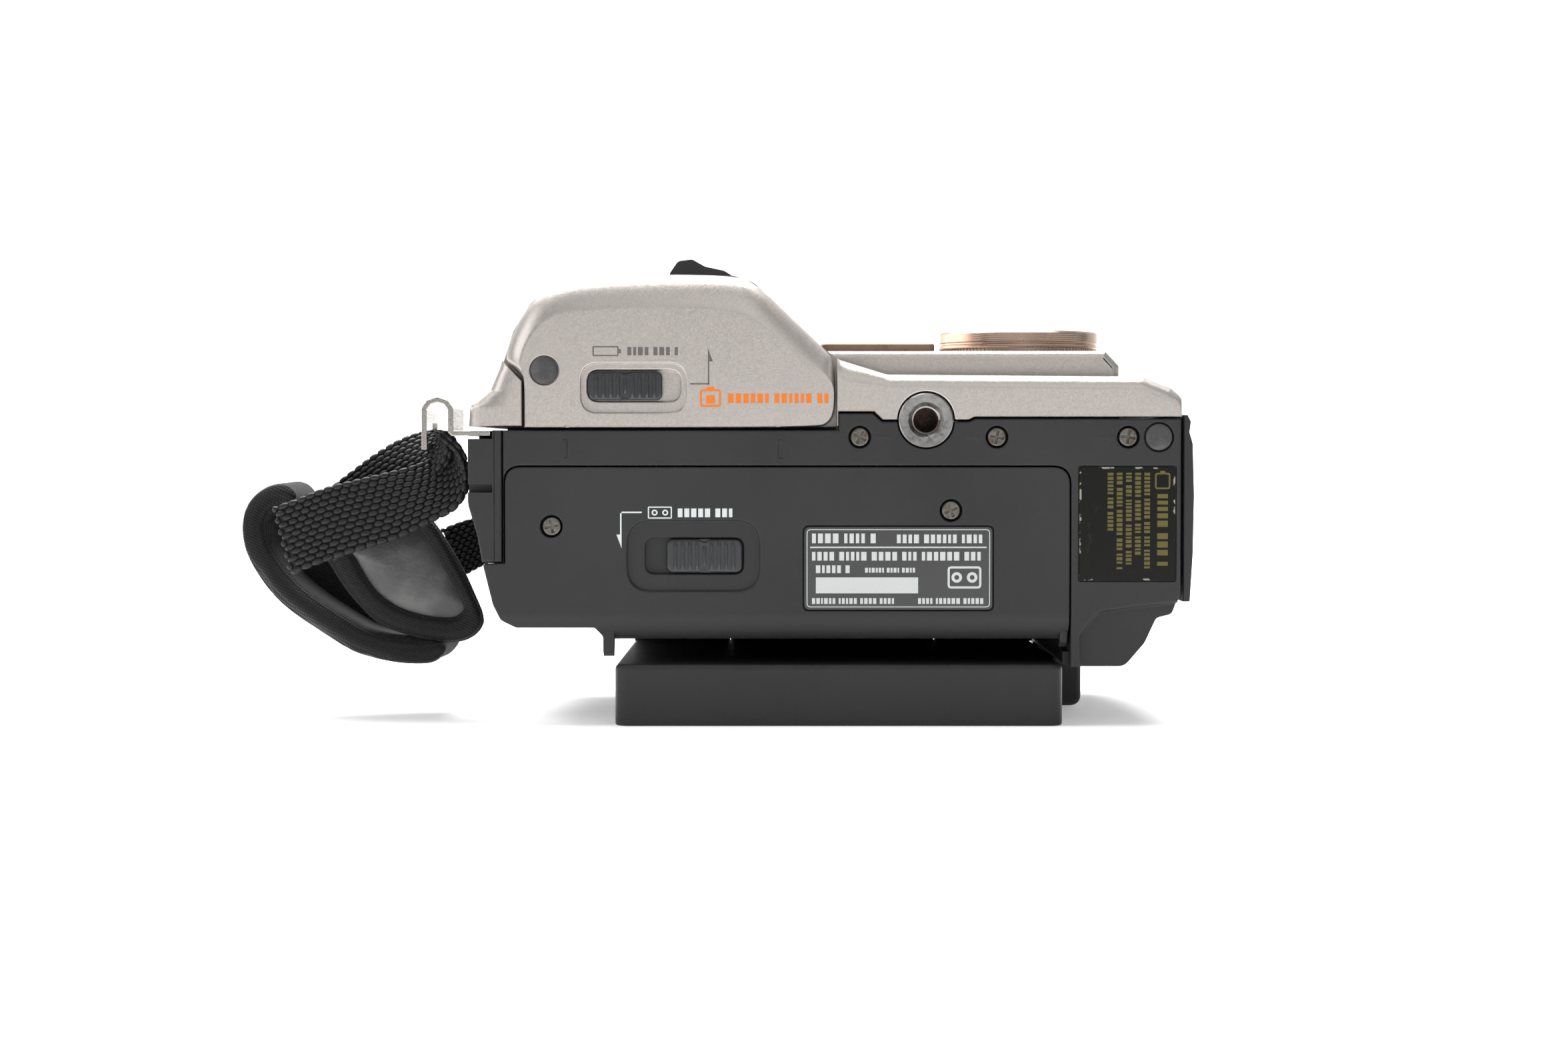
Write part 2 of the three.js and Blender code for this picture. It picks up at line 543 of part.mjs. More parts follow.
function makeCassetteLid() {
  const face = slab(outline(LID_OUTLINE, 3), NEAR, LID.hingeY - 0.7);
  const section = slab(lidSection(2.4), -80, 60, { axis: 'x' });
  let lid = face.intersect(section);

  // Ears at the two ends, which carry the hinge pins.
  const ears = [[-49, -46.8, 14], [45.95, 47.4, 16]].map(([x0, x1, low]) => {
    const ear = outline([[NEAR + 1.4, low + 1.4, 1], [NEAR + 4.4, low, 1], [LID.hingeY + 1.6, 20.4, 1],
      [LID.hingeY + 2.2, 24.6, 2], [NEAR + 1.6, 27, 0]], 3);
    return slab(ear, x0, x1, { axis: 'x' });
  });
  lid = lid.add(ears[0]).add(ears[1]);

  // Eject recess, name-plate seat and screw holes, with a boss behind each.
  lid = lid.add(box(-42.6, -17.6, NEAR + 2, NEAR + 3.6, 29.4, 41.3));
  lid = lid.add(box(-8.6, 33.2, NEAR + 1.8, NEAR + 3, 22.9, 42.8));
  for (const [x, z] of LID_SCREWS) {
    lid = lid.add(rod('y', x, z, NEAR + 1, NEAR + 4, 3.4, 20)).subtract(screwHole(x, z));
  }
  lid = lid.subtract(slab(outline(rectangle(-43.9, -16.4, 28, 42.7, 5.2)), NEAR - PAST, NEAR + 0.8));
  lid = lid.subtract(slab(outline(rectangle(-40.2, -19.8, 31.6, 39.1, 2)), NEAR - PAST, NEAR + 2));
  lid = lid.subtract(box(-31.5, -22.6, NEAR, NEAR + 8, 34.4, 36.2));
  lid = lid.subtract(slab(outline(rectangle(-7.5, 32.1, 23.9, 41.7, 1.4)), NEAR - PAST, NEAR + 1));
  add('cassette_lid', 'cassette_lid', lid, ...DARK);

  const plate = slab(outline(rectangle(-7.2, 31.8, 24.2, 41.4, 1.1)), NEAR + 0.2, NEAR + 0.7);
  add('cassette_lid', 'name_plate', plate, 0x46484d, 0.4, 0.2);
  add('eject_latch', 'eject_latch', latchKnob(-35.7, -20.1, 31.9, 38.8, [-27, -22.9]), ...KNOB);
}

function makeTransport() {
  const { x, near, far, low, high, wall } = CARRIAGE;
  const middle = (low + high) / 2;
  const [halfWide, halfThick] = [POCKET.wide / 2, POCKET.thick / 2];
  let carriage = box(x - halfWide - wall, x + halfWide + wall, near, far, middle - halfThick - wall,
    middle + halfThick + wall);
  carriage = carriage.subtract(box(x - halfWide, x + halfWide, near - PAST, far - wall, middle - halfThick,
    middle + halfThick));
  for (const side of [-1, 1]) {
    carriage = carriage.subtract(rod('z', x + side * 15.1, -14, low - 2, middle, 5, 20));
  }
  add('cassette_carriage', 'cassette_carriage', carriage, 0xa9a9a4, 0.4, 0.9);

  const deck = box(x - 38, x + 38, -36, 34, 51.8, 53).subtract(box(x - 39, x - 20, 20, 40, 50, 55));
  add('camera_body', 'deck_plate', deck, 0x9c9c98, 0.4, 0.9);
  const drumBase = rod('z', DRUM.x, DRUM.y, 28, DRUM.low - GAP, DRUM.radius, 32);
  add('camera_body', 'drum_base', drumBase, ...STEEL);
  const drum = rod('z', DRUM.x, DRUM.y, DRUM.low, DRUM.high, DRUM.radius, 32)
    .subtract(rod('z', DRUM.x, DRUM.y, DRUM.high - 3, DRUM.high + PAST, DRUM.radius - 3, 24));
  add('head_drum', 'head_drum', drum, 0xd6d6d4, 0.15, 1);
  add('camera_body', 'loading_motor', rod('z', -46, 24, 28, 44, 6, 20), 0x8e8e8a, 0.4, 0.9);
  add('camera_body', 'capstan_motor', rod('z', 14, 24, 40, 51, 9, 24), 0x8e8e8a, 0.4, 0.9);
  add('camera_body', 'capstan_flywheel', rod('z', 14, 24, 28, 31, 10, 28), ...STEEL);
  add('camera_body', 'main_board', box(-62, 30, 34.5, 35.9, 26, 58), 0x1f5a35, 0.6, 0);
}

// ---------------------------------------------------------------- lens and lens housing
function makeLens() {
  const { x, y, ring, barrel, low, top } = LENS;
  const at = (from, to, outer, inner, sides) => ringOf('z', x, y, from, to, outer, inner, sides);
  const barrelSolid = at(low, 80, barrel, barrel - 2, 36).add(rod('z', x, y, low, low + 3, barrel, 36));
  const window = rod('z', x, y, low - PAST, low + 6, 4, 20);
  add('camera_body', 'lens_barrel', barrelSolid.subtract(window), ...BLACK);
  const groove = at(80, 80.6, ring + 1, ring - 0.6, 48);
  const ringSolid = at(HOUSING.top + GAP, top, ring, barrel + GAP, 48).subtract(groove);
  add('camera_body', 'lens_ring', ringSolid, 0xd7c3b4, 0.25, 1);
  const dome = [];
  const [pane, spread] = [barrel - 2 - GAP, 0.55];
  for (let i = 0; i <= 6; i += 1) {
    const angle = spread * (1 - i / 6);
    const radius = pane * Math.sin(angle) / Math.sin(spread);
    dome.push(new THREE.Vector2(radius, 57.8 + 20 * Math.cos(angle)));
  }
  const [rim, face] = [dome[0].x, dome[0].y];
  dome.unshift(new THREE.Vector2(0, face - 2), new THREE.Vector2(rim, face - 2));
  dome.at(-1).x = 0;
  const lathe = new THREE.LatheGeometry(dome, 32);
  const lens = solid(lathe.rotateX(Math.PI / 2).translate(x, y, 0));
  add('camera_body', 'lens_front_glass', lens, 0x10131c, 0.05, 0);
  add('camera_body', 'lens_rear_glass', rod('z', x, y, 48, 52, pane, 28), 0x10131c, 0.05, 0);
  add('camera_body', 'image_sensor', box(x - 8, x + 8, y - 7, y + 7, low - 4, low - GAP), 0x2a2d31, 0.5, 0);
}

function makeInlay() {
  const { top, near, far } = HOUSING;
  const plan = outline(rectangle(-3.7, 20.3, near + 2.3, far - 2.3, 1.3));
  const inlay = slab(plan, top - 0.6, top + 1.6, { axis: 'z', end: 1 })
    .subtract(slab(outline(rectangle(2, 14, 8, 20, 3)), top - 2, top + 3, { axis: 'z' }));
  add('camera_body', 'front_inlay', inlay, 0x785a46, 0.35, 0.3);
  const grille = slab(outline(rectangle(2.3, 13.7, 8.3, 19.7, 2.8)), top - 0.6, top + 1.2, { axis: 'z' });
  add('camera_body', 'microphone_grille', grille, ...BLACK);
}

// ---------------------------------------------------------------- controls on the top
function makeTopControls() {
  const { x, z, inner, outer, tip, thick } = ZOOM;
  let lever = rod('y', x, z, FAR + GAP, FAR + GAP + thick, outer, 40);
  const tab = outline([
    [x - 8, z + 6, 0], [x + 9, z + 6, 0], [x + 8.6, tip - 4, 1], [x + 6.4, tip - 2.6, 2],
    [x + 1.8, tip - 1.6, 2], [x - 1.2, tip, 1], [x - 4.6, tip - 0.4, 1.4], [x - 6.6, tip - 3.2, 2],
  ]);
  lever = lever.add(slab(tab, FAR + GAP, FAR + GAP + thick, { end: 0.8, steps: 2 }));
  lever = lever.subtract(rod('y', x, z, FAR, FAR + 9, inner, 32));
  add('zoom_lever', 'zoom_lever', lever, ...KNOB);
  const button = slab(outline(circlePoints(inner - 1, 28)), 0, 5, { end: 0.8, steps: 2 });
  add('start_button', 'start_button', button, 0x8c2420, 0.4, 0, [x, FAR - 1.5, z]);

  let dial = slab(outline(circlePoints(DIAL.radius, 36)), 0, DIAL.thick, { end: 0.6, steps: 2 });
  dial = dial.add(rod('y', 0, 0, -2, 0.5, 2, 16));
  dial = dial.add(slab(outline(rectangle(-1.2, 1.2, -7, 7, 0.8)), DIAL.thick - 0.5, DIAL.thick + 1));
  add('mode_dial', 'mode_dial', dial, ...KNOB, [DIAL.x, FAR - 1.3, DIAL.z]);
  TOP_BUTTONS.forEach(([u, v], i) => {
    const cap = slab(outline(circlePoints(3.2, 20)), -2.2, 0.9, { end: 0.5, steps: 2 });
    add(`top_button_${i + 1}`, `top_button_${i + 1}`, cap, ...KNOB, [u, FAR, v]);
  });
}

// ---------------------------------------------------------------- sides
function makeSides() {
  // Dark cover on the hand side, with the two slots that hold the strap's hardware.
  let cover = slab(outline([
    [-69.9, 61.4, 0], [-76.9, 61.4, 0.6], [-76.9, 46, 6], [-75, 39.6, 6], [-74, 34.1, 0], [-69.9, 34.1, 0],
  ]), NEAR, FAR - 4, { start: 1 });
  cover = cover.subtract(box(-78, -71.8, NEAR - PAST, BAIL.far + 0.4, 59.6, 62));
  cover = cover.subtract(box(-78, -71.8, NEAR - PAST, NEAR + 2.4, 48.5, 50.2));
  cover = cover.subtract(box(-78, -72.6, 1.2, 4.8, 34, 44));
  add('camera_body', 'grip_side_cover', cover, ...DARK);

  // Swinging cover over the sockets on the lens side.
  const { x, low, high, near, far } = JACK;
  const section = outline([
    [x + 1.4, low, 0], [x + 2, 36, 0], [x + 2.2, 48, 0], [x + 1.9, 58.6, 0], [x + 1.2, 61, 0],
    [x + 1.5, 63.2, 0], [x + 0.8, high, 0], [x, high, 0], [x, low, 0],
  ]);
  add('jack_cover', 'jack_cover', slab(section, near, far, { start: 0.3, end: 0.3, steps: 1 }), ...DARK);
  SOCKETS.forEach((z, i) => {
    const socket = ringOf('x', SOCKET_Y, z, 66.4, 70.4, 3.6, 1.8, 24);
    add('camera_body', `socket_${i + 1}`, socket, ...(i === 0 ? [0xc8a43a, 0.4, 0.8] : BLACK));
  });
  const sticker = slab(outline(rectangle(49.8, 69.6, 30.3, 53.8, 0.4), 2), NEAR + 0.05, NEAR + 0.3);
  add('camera_body', 'side_label', sticker, 0x16170f, 0.3, 0);
  const block = slab(outline(rectangle(47.2, 54.6, 0.5, 12, 2.6)), -4, 29, { start: 1.2, end: 1.2 });
  add('camera_body', 'rear_side_block', block, ...DARK);
  const bracket = knuckle(-TILT.inner, TILT.inner, 'body');
  add('camera_body', 'lcd_hinge_bracket', bracket, ...DARK);
}

// ---------------------------------------------------------------- battery
function makeBattery() {
  const middle = (GRIP.bayLeft + GRIP.bayRight) / 2;
  const [low, near] = [GRIP.bayLow + 0.5, NEAR + GRIP.lidDepth + 0.2];
  const pack = slab(
    outline(rectangle(middle - BATTERY.wide / 2, middle + BATTERY.wide / 2, low, low + BATTERY.high, 2)),
    near, near + BATTERY.long, { start: 1, end: 1, steps: 2 });
  add('camera_body', 'battery_pack', pack, 0x2c2e31, 0.5, 0);
  const end = near + BATTERY.long + GAP;
  const terminal = box(middle - 9, middle + 9, end, GRIP.bayFar - GAP, low + 4, low + 14);
  add('camera_body', 'battery_terminal', terminal, 0xb08d3c, 0.4, 0.9);
}

// ---------------------------------------------------------------- hand strap
function makeStrap() {
  // Flat steel bail: a foot in the side slot, an arch and a leg with a window for the webbing.
  const arch = [
    [-72.4, 60.2], [-80.4, 60.2], [-81.2, 61], [-81.2, 65.6], [-82, 66.8], [-83.4, 67.2], [-84.8, 66.8],
    [-85.6, 65.6], [-85.6, 57.4], [-86.7, 57.4], [-86.7, 66], [-85.6, 67.6], [-83.4, 68.4], [-81.2, 67.6],
    [-80.1, 66], [-80.1, 61.3], [-72.4, 61.3],
  ];
  const bail = slab(points2(arch), BAIL.near, BAIL.far)
    .subtract(box(-90, -82, BAIL.near + 1.4, BAIL.far - 1.4, 58.6, 63));
  add('camera_body', 'strap_bail', bail, ...STEEL);

  const front = outline([
    [-119, 45.6, 1], [-106.5, 49.6, 0], [-89.5, 54, 4], [-84.4, 56.4, 1], [-77.5, 49.6, 0.6],
    [-77.5, 46.6, 1], [-83, 42.2, 4], [-92, 38.6, 0], [-104.1, 34.5, 0], [-114.4, 31, 1],
  ], 2);
  add('camera_body', 'strap_webbing_front', slab(front, -38, -36), ...BLACK);
  const back = outline([
    [-108, 48.6, 0], [-106, 48, 0], [-98, 51.6, 0], [-87.4, 56.8, 0.5], [-87.4, 60.2, 0.5],
    [-89.5, 60.6, 1], [-99, 54.6, 0],
  ], 2);
  add('camera_body', 'strap_webbing_back', slab(back, -33, -31), ...BLACK);
  const tail = outline([
    [-73.2, 34.6, 0], [-73.2, 43.2, 0], [-78, 42.8, 0], [-83, 41.6, 2], [-88, 39.8, 0], [-84, 28.6, 0],
    [-77, 32.4, 2],
  ], 2);
  add('camera_body', 'strap_webbing_tail', slab(tail, 2, 4), ...BLACK);
  const pad = outline([
    [-114, 48, 0], [-118.5, 51, 0], [-124.5, 50, 0], [-128.6, 44, 0], [-128.2, 36, 0], [-123, 27, 0],
    [-110.5, 17.4, 0], [-101.5, 12, 0], [-93, 11, 0], [-86, 11.6, 0], [-76.4, 18.4, 0], [-76.8, 22.6, 0],
    [-80, 29.5, 0], [-87, 40.2, 0], [-101, 45.5, 0],
  ], 3);
  add('camera_body', 'strap_pad', slab(pad, -29.5, -3, { start: 2, end: 2, steps: 3 }), ...BLACK);
}

makeScreenPanel();
makeRearShell();
makeTopCover();
makeFrontShell();
makeTripodSocket();
makeScrews();
makeBatteryLid();
makeBattery();
makeCassetteLid();
makeTransport();
makeLens();
makeInlay();
makeTopControls();
makeSides();
makeStrap();

export default camcorder;
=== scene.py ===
"""A pocket tape camcorder that lies on its screen, laid out as a Blender add-on and run as a script."""

import math
import random

import bmesh
import bpy
from bpy.props import FloatProperty, FloatVectorProperty, IntProperty, PointerProperty
from mathutils import Matrix, Vector


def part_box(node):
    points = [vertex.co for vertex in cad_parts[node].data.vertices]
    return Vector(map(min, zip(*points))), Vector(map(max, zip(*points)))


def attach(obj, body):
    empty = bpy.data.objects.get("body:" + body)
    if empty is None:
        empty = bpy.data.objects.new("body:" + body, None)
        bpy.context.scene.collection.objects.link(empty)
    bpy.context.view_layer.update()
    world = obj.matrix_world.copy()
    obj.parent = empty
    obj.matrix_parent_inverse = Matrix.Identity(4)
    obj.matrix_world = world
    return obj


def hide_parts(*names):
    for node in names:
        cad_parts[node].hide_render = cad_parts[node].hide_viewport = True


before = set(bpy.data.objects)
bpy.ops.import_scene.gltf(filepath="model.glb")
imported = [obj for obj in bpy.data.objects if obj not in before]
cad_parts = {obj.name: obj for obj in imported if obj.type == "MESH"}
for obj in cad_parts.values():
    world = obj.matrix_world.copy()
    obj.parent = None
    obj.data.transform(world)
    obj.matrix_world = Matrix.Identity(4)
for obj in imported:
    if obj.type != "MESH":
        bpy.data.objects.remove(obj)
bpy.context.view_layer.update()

bl_info = {
    "name": "Tape Camcorder",
    "version": (1, 0, 0),
    "blender": (4, 5, 0),
    "location": "View3D > Sidebar > Camcorder",
    "description": "Builds the casings, lids, lens, controls and hand strap of a small tape camcorder",
    "category": "Add Mesh",
}

MM = 0.001
NEAR = -43.0  # underside of the body
FAR = 40.0  # top of the body
PRINT_RISE = 0.02  # how far a printed mark stands off its surface
PRINT_ROOT = 0.1  # how far it reaches into it


# ---------------------------------------------------------------- values a user would change


def colour(name, text, value):
    return FloatVectorProperty(name=name, description=text, default=value, size=3, subtype="COLOR",
                               min=0, max=1)


def length(name, text, value):
    return FloatProperty(name=name, description=text, default=value, unit="LENGTH", min=0, precision=5)


class CamcorderColours(bpy.types.PropertyGroup):
    dark: colour("Dark plastic", "Textured plastic of the body and screen panel", (0.025, 0.0252, 0.026))
    silver: colour("Silver lacquer", "Metallic lacquer of the grip and lens housing", (0.43, 0.397, 0.373))
    knob: colour("Knobs", "Smooth plastic of the sliding knobs and dials", (0.021, 0.022, 0.024))
    champagne: colour("Lens ring", "Turned and anodised lens ring", (0.50, 0.37, 0.29))
    inlay: colour("Inlay", "Brown metallic panel beside the lens", (0.20, 0.125, 0.08))
    print_dark: colour("Print on silver", "Grey printed marks on the silver lid", (0.10, 0.09, 0.085))
    print_light: colour("Print on dark", "Light printed marks on the dark lid", (0.55, 0.58, 0.58))
    orange: colour("Battery mark", "Orange printed battery sign", (0.62, 0.15, 0.006))
    webbing: colour("Webbing", "Black woven strap", (0.006, 0.006, 0.0065))
    pad: colour("Pad", "Knit binding of the strap's pad", (0.006, 0.006, 0.0065))


class CamcorderSizes(bpy.types.PropertyGroup):
    screw_head: length("Screw head", "Diameter of the screw heads", 0.0042)
    strand: length("Strand", "Length of one raised strand of the webbing", 0.0021)
    strand_rows: IntProperty(name="Strand rows", description="Strands across the webbing", default=12, min=4)
    rib_pitch: length("Rib pitch", "Distance between the ribs of a sliding knob", 0.0015)
    ring_teeth: IntProperty(name="Ring teeth", description="Fine ridges round the lens ring", default=120,
                            min=12)
    pad_puff: length("Pad puff", "How far the pad may swell in the cloth simulation", 0.0016)


# ---------------------------------------------------------------- outlines and solids


def outline(corners, steps=8):
    """Corners (u, v, radius) as a closed outline with round corners, in millimetres."""
    points = []
    for i, corner in enumerate(corners):
        here = Vector(corner[:2])
        radius = corner[2] if len(corner) > 2 else 0
        if not radius:
            points.append(here)
            continue
        back = (Vector(corners[i - 1][:2]) - here).normalized()
        ahead = (Vector(corners[(i + 1) % len(corners)][:2]) - here).normalized()
        half = math.acos(max(-1, min(1, back.dot(ahead)))) / 2
        reach = radius / math.tan(half)
        for k in range(steps + 1):
            t = k / steps
            points.append(here + back * reach * (1 - t) ** 2 + ahead * reach * t**2)
    return points


def rectangle(u0, u1, v0, v1, radius=0.0, steps=8):
    return outline([(u0, v0, radius), (u1, v0, radius), (u1, v1, radius), (u0, v1, radius)], steps)


def circle(u, v, radius, sides=48):
    turns = [2 * math.pi * i / sides for i in range(sides)]
    return [Vector((u + radius * math.cos(a), v + radius * math.sin(a))) for a in turns]


def inset(points, distance):
    """The same outline moved inwards."""
    area = sum(a.x * b.y - b.x * a.y for a, b in zip(points, points[1:] + points[:1]))
    turn = 1 if area > 0 else -1
    moved = []
    for i, point in enumerate(points):
        a = (point - points[i - 1]).normalized()
        b = (points[(i + 1) % len(points)] - point).normalized()
        mitre = (Vector((-a.y, a.x)) + Vector((-b.y, b.x))) * turn
        moved.append(point + mitre * (distance * 2 / max(mitre.length_squared, 1)))
    return moved


PLACE = {
    "x": lambda u, v, t: (t * MM, u * MM, v * MM),
    "y": lambda u, v, t: (u * MM, t * MM, v * MM),
    "z": lambda u, v, t: (u * MM, v * MM, t * MM),
}


def new_object(name, mesh):
    piece = bpy.data.objects.new(name, mesh)
    bpy.context.scene.collection.objects.link(piece)
    return piece


def from_bmesh(name, work):
    bmesh.ops.remove_doubles(work, verts=work.verts, dist=1e-7)
    bmesh.ops.recalc_face_normals(work, faces=work.faces)
    mesh = bpy.data.meshes.new(name)
    work.to_mesh(mesh)
    work.free()
    return new_object(name, mesh)


def loft(name, rings, axis="y"):
    """Rings of matching points, each (points, height), as one closed solid."""
    work = bmesh.new()
    rows = [[work.verts.new(PLACE[axis](p.x, p.y, at)) for p in points] for points, at in rings]
    count = len(rows[0])
    for low, high in zip(rows, rows[1:]):
        for i in range(count):
            j = (i + 1) % count
            work.faces.new((low[i], low[j], high[j], high[i]))
    work.faces.new(rows[0])
    work.faces.new(rows[-1])
    return from_bmesh(name, work)


def slab(name, points, low, high, axis="y", start=0.0, end=0.0, steps=5):
    """An outline given thickness along an axis, with rounded edges at either end."""
    rings = []
    if start:
        for k in range(steps):
            a = math.pi / 2 * k / steps
            rings.append((inset(points, start * (1 - math.sin(a))), low + start * (1 - math.cos(a))))
    rings.append((points, low + start))
    if high - end > low + start + 1e-6:
        rings.append((points, high - end))
    if end:
        for k in range(1, steps + 1):
            a = math.pi / 2 * k / steps
            rings.append((inset(points, end * (1 - math.cos(a))), high - end + end * math.sin(a)))
    return loft(name, rings, axis)


def box(name, x0, x1, y0, y1, z0, z1):
    return slab(name, rectangle(x0, x1, z0, z1), y0, y1)


def rod(name, axis, u, v, low, high, radius, sides=48, start=0.0, end=0.0):
    return slab(name, circle(u, v, radius, sides), low, high, axis, start, end, 3)


def baked(piece, name=None):
    """The piece with its modifiers applied, as a plain mesh object."""
    bpy.context.view_layer.update()
    depsgraph = bpy.context.evaluated_depsgraph_get()
    mesh = bpy.data.meshes.new_from_object(piece.evaluated_get(depsgraph))
    name = name or piece.name
    old = piece.data
    bpy.data.objects.remove(piece)
    if old.users == 0:
        bpy.data.meshes.remove(old)
    fresh = new_object("making", mesh)
    fresh.name = name
    mesh.name = name
    return fresh


def boolean(piece, others, operation):
    """Joins others to the piece or cuts them out of it."""
    for other in others:
        change = piece.modifiers.new("cut", "BOOLEAN")
        change.object = other
        change.operation = operation
        change.solver = "EXACT"
    done = baked(piece)
    for other in others:
        bpy.data.objects.remove(other)
    return done


def carve(piece, *cutters):
    return boolean(piece, cutters, "DIFFERENCE")


def weld(piece, *others):
    return boolean(piece, others, "UNION")


def join(name, pieces):
    """Several closed pieces as one object."""
    work = bmesh.new()
    for piece in pieces:
        work.from_mesh(piece.data)
        bpy.data.objects.remove(piece)
    mesh = bpy.data.meshes.new(name)
    work.to_mesh(mesh)
    work.free()
    return new_object(name, mesh)


def settle(piece, body, slot, material, *nodes):
    """Gives a finished piece its finish, its body and the CAD nodes that it stands for."""
    piece.data.materials.clear()
    piece.data.materials.append(material)
    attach(piece, body)
    if nodes:
        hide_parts(*nodes)
    return piece


def chamfered(points, sharp=(), rounds=2):
    """An outline whose corners are cut again and again until they are round, apart from the sharp ones."""
    keep = set(sharp)
    for _ in range(rounds):
        cut = []
        kept = set()
        for i, point in enumerate(points):
            if i in keep:
                kept.add(len(cut))
                cut.append(point)
                continue
            cut.append(point.lerp(points[i - 1], 0.25))
            cut.append(point.lerp(points[(i + 1) % len(points)], 0.25))
        points, keep = cut, kept
    return points


def pocket(name, points, mouth, floor, lip=0.2, foot=0.15, axis="y", steps=4):
    """A cutter for a recess with a rounded lip and a rounded foot; it is cut from the mouth to the floor."""
    way = 1 if floor > mouth else -1
    rings = [(inset(points, -lip), mouth - way)]
    for k in range(steps + 1):
        a = math.pi / 2 * k / steps
        rings.append((inset(points, -lip * (1 - math.sin(a))), mouth + way * lip * (1 - math.cos(a))))
    for k in range(steps + 1):
        a = math.pi / 2 * k / steps
        rings.append((inset(points, foot * (1 - math.cos(a))), floor - way * foot * (1 - math.sin(a))))
    return loft(name, rings, axis)


def ribbon(name, outline_points, low, high, axis="y"):
    """A thin flat mark, such as a print, with square edges."""
    return loft(name, [(outline_points, low), (outline_points, high)], axis)


# ---------------------------------------------------------------- materials


class Wire:
    """An output socket whose arithmetic adds Math nodes to its material."""

    def __init__(self, net, socket):
        self.net = net
        self.socket = socket

    def math(self, operation, *values):
        return self.net.node("ShaderNodeMath", {"operation": operation}, dict(enumerate(values)))

    def __add__(self, other):
        return self.math("ADD", self, other)

    def __sub__(self, other):
        return self.math("SUBTRACT", self, other)

    def __rsub__(self, other):
        return self.math("SUBTRACT", other, self)

    def __mul__(self, other):
        return self.math("MULTIPLY", self, other)

    def __truediv__(self, other):
        return self.math("DIVIDE", self, other)

    def __pow__(self, other):
        return self.math("POWER", self, other)

    def __gt__(self, other):
        return self.math("GREATER_THAN", self, other)

    def __lt__(self, other):
        return self.math("LESS_THAN", self, other)

    __radd__ = __add__
    __rmul__ = __mul__

    def sin(self):
        return self.math("SINE", self)

    def size(self):
        return self.math("ABSOLUTE", self)

    def ramp(self, low, high, out_low=0.0, out_high=1.0):
        """The value between low and high as a smooth step between two other values."""
        settings = {"interpolation_type": "SMOOTHSTEP"}
        values = {0: self, 1: low, 2: high, 3: out_low, 4: out_high}
        return self.net.node("ShaderNodeMapRange", settings, values)


class Net:
    """A material's node tree, with one Principled shader and the object's own coordinates."""

    def __init__(self, name, **constants):
        self.material = bpy.data.materials.new(name)
        self.material.use_nodes = True
        self.tree = self.material.node_tree
        self.shader = self.tree.nodes["Principled BSDF"]
        for key, value in constants.items():
            self.shader.inputs[key.replace("_", " ").title().replace("Ior", "IOR")].default_value = value
        self.place = self.node("ShaderNodeTexCoord", output="Object")

    def node(self, kind, settings=None, values=None, output=0):
        made = self.tree.nodes.new(kind)
        for key, value in (settings or {}).items():
            setattr(made, key, value)
        for key, value in (values or {}).items():
            self.feed(made.inputs[key], value)
        return Wire(self, made.outputs[output])

    def feed(self, socket, value):
        if isinstance(value, Wire):
            self.tree.links.new(value.socket, socket)
        elif socket.type == "RGBA":
            socket.default_value = (*value, 1.0)[:4]
        else:
            socket.default_value = value

    def parts(self, wire=None):
        """The three numbers of a position."""
        wire = wire or self.place
        return [self.node("ShaderNodeSeparateXYZ", None, {0: wire}, output=i) for i in range(3)]

    def stretched(self, scale=(1, 1, 1), turn=(0, 0, 0), move=(0, 0, 0)):
        return self.node("ShaderNodeMapping", None, {0: self.place, 1: move, 2: turn, 3: scale})

    def noise(self, scale, detail=2.0, rough=0.5, where=None):
        values = {"Vector": where or self.place, "Scale": scale, "Detail": detail, "Roughness": rough}
        return self.node("ShaderNodeTexNoise", None, values)

    def cells(self, scale, where=None, output="Distance", feature="F1"):
        values = {"Vector": where or self.place, "Scale": scale}
        return self.node("ShaderNodeTexVoronoi", {"feature": feature}, values, output)

    def mix(self, factor, a, b, blend="MIX"):
        settings = {"data_type": "RGBA", "blend_type": blend}
        return self.node("ShaderNodeMix", settings, {0: factor, 6: a, 7: b}, output=2)

    def worn_edges(self, radius):
        """One along the sharp edges of a piece and nothing on its flats."""
        soft = self.node("ShaderNodeBevel", {"samples": 4}, {"Radius": radius})
        sharp = self.node("ShaderNodeNewGeometry", output="Normal")
        alike = self.node("ShaderNodeVectorMath", {"operation": "DOT_PRODUCT"}, {0: soft, 1: sharp}, "Value")
        return (1 - alike).ramp(0.02, 0.22)

    def bump(self, height, distance, strength=1.0):
        values = {"Height": height, "Distance": distance, "Strength": strength}
        return self.node("ShaderNodeBump", None, values)

    def finish(self, colour=None, roughness=None, normal=None, metallic=None, coat=None, alpha=None):
        wired = {"Base Color": colour, "Roughness": roughness, "Normal": normal, "Metallic": metallic,
                 "Coat Weight": coat, "Alpha": alpha}
        for key, value in wired.items():
            if value is not None:
                self.feed(self.shader.inputs[key], value)
        return self.material


def palette():
    return bpy.context.scene.camcorder_colours


def tinted(value, factor):
    return tuple(min(1.0, part * factor) for part in value[:3])


def material(make):
    """The material that a function makes, made once."""
    name = f"{make.__name__}_finish"
    return bpy.data.materials.get(name) or make(name)


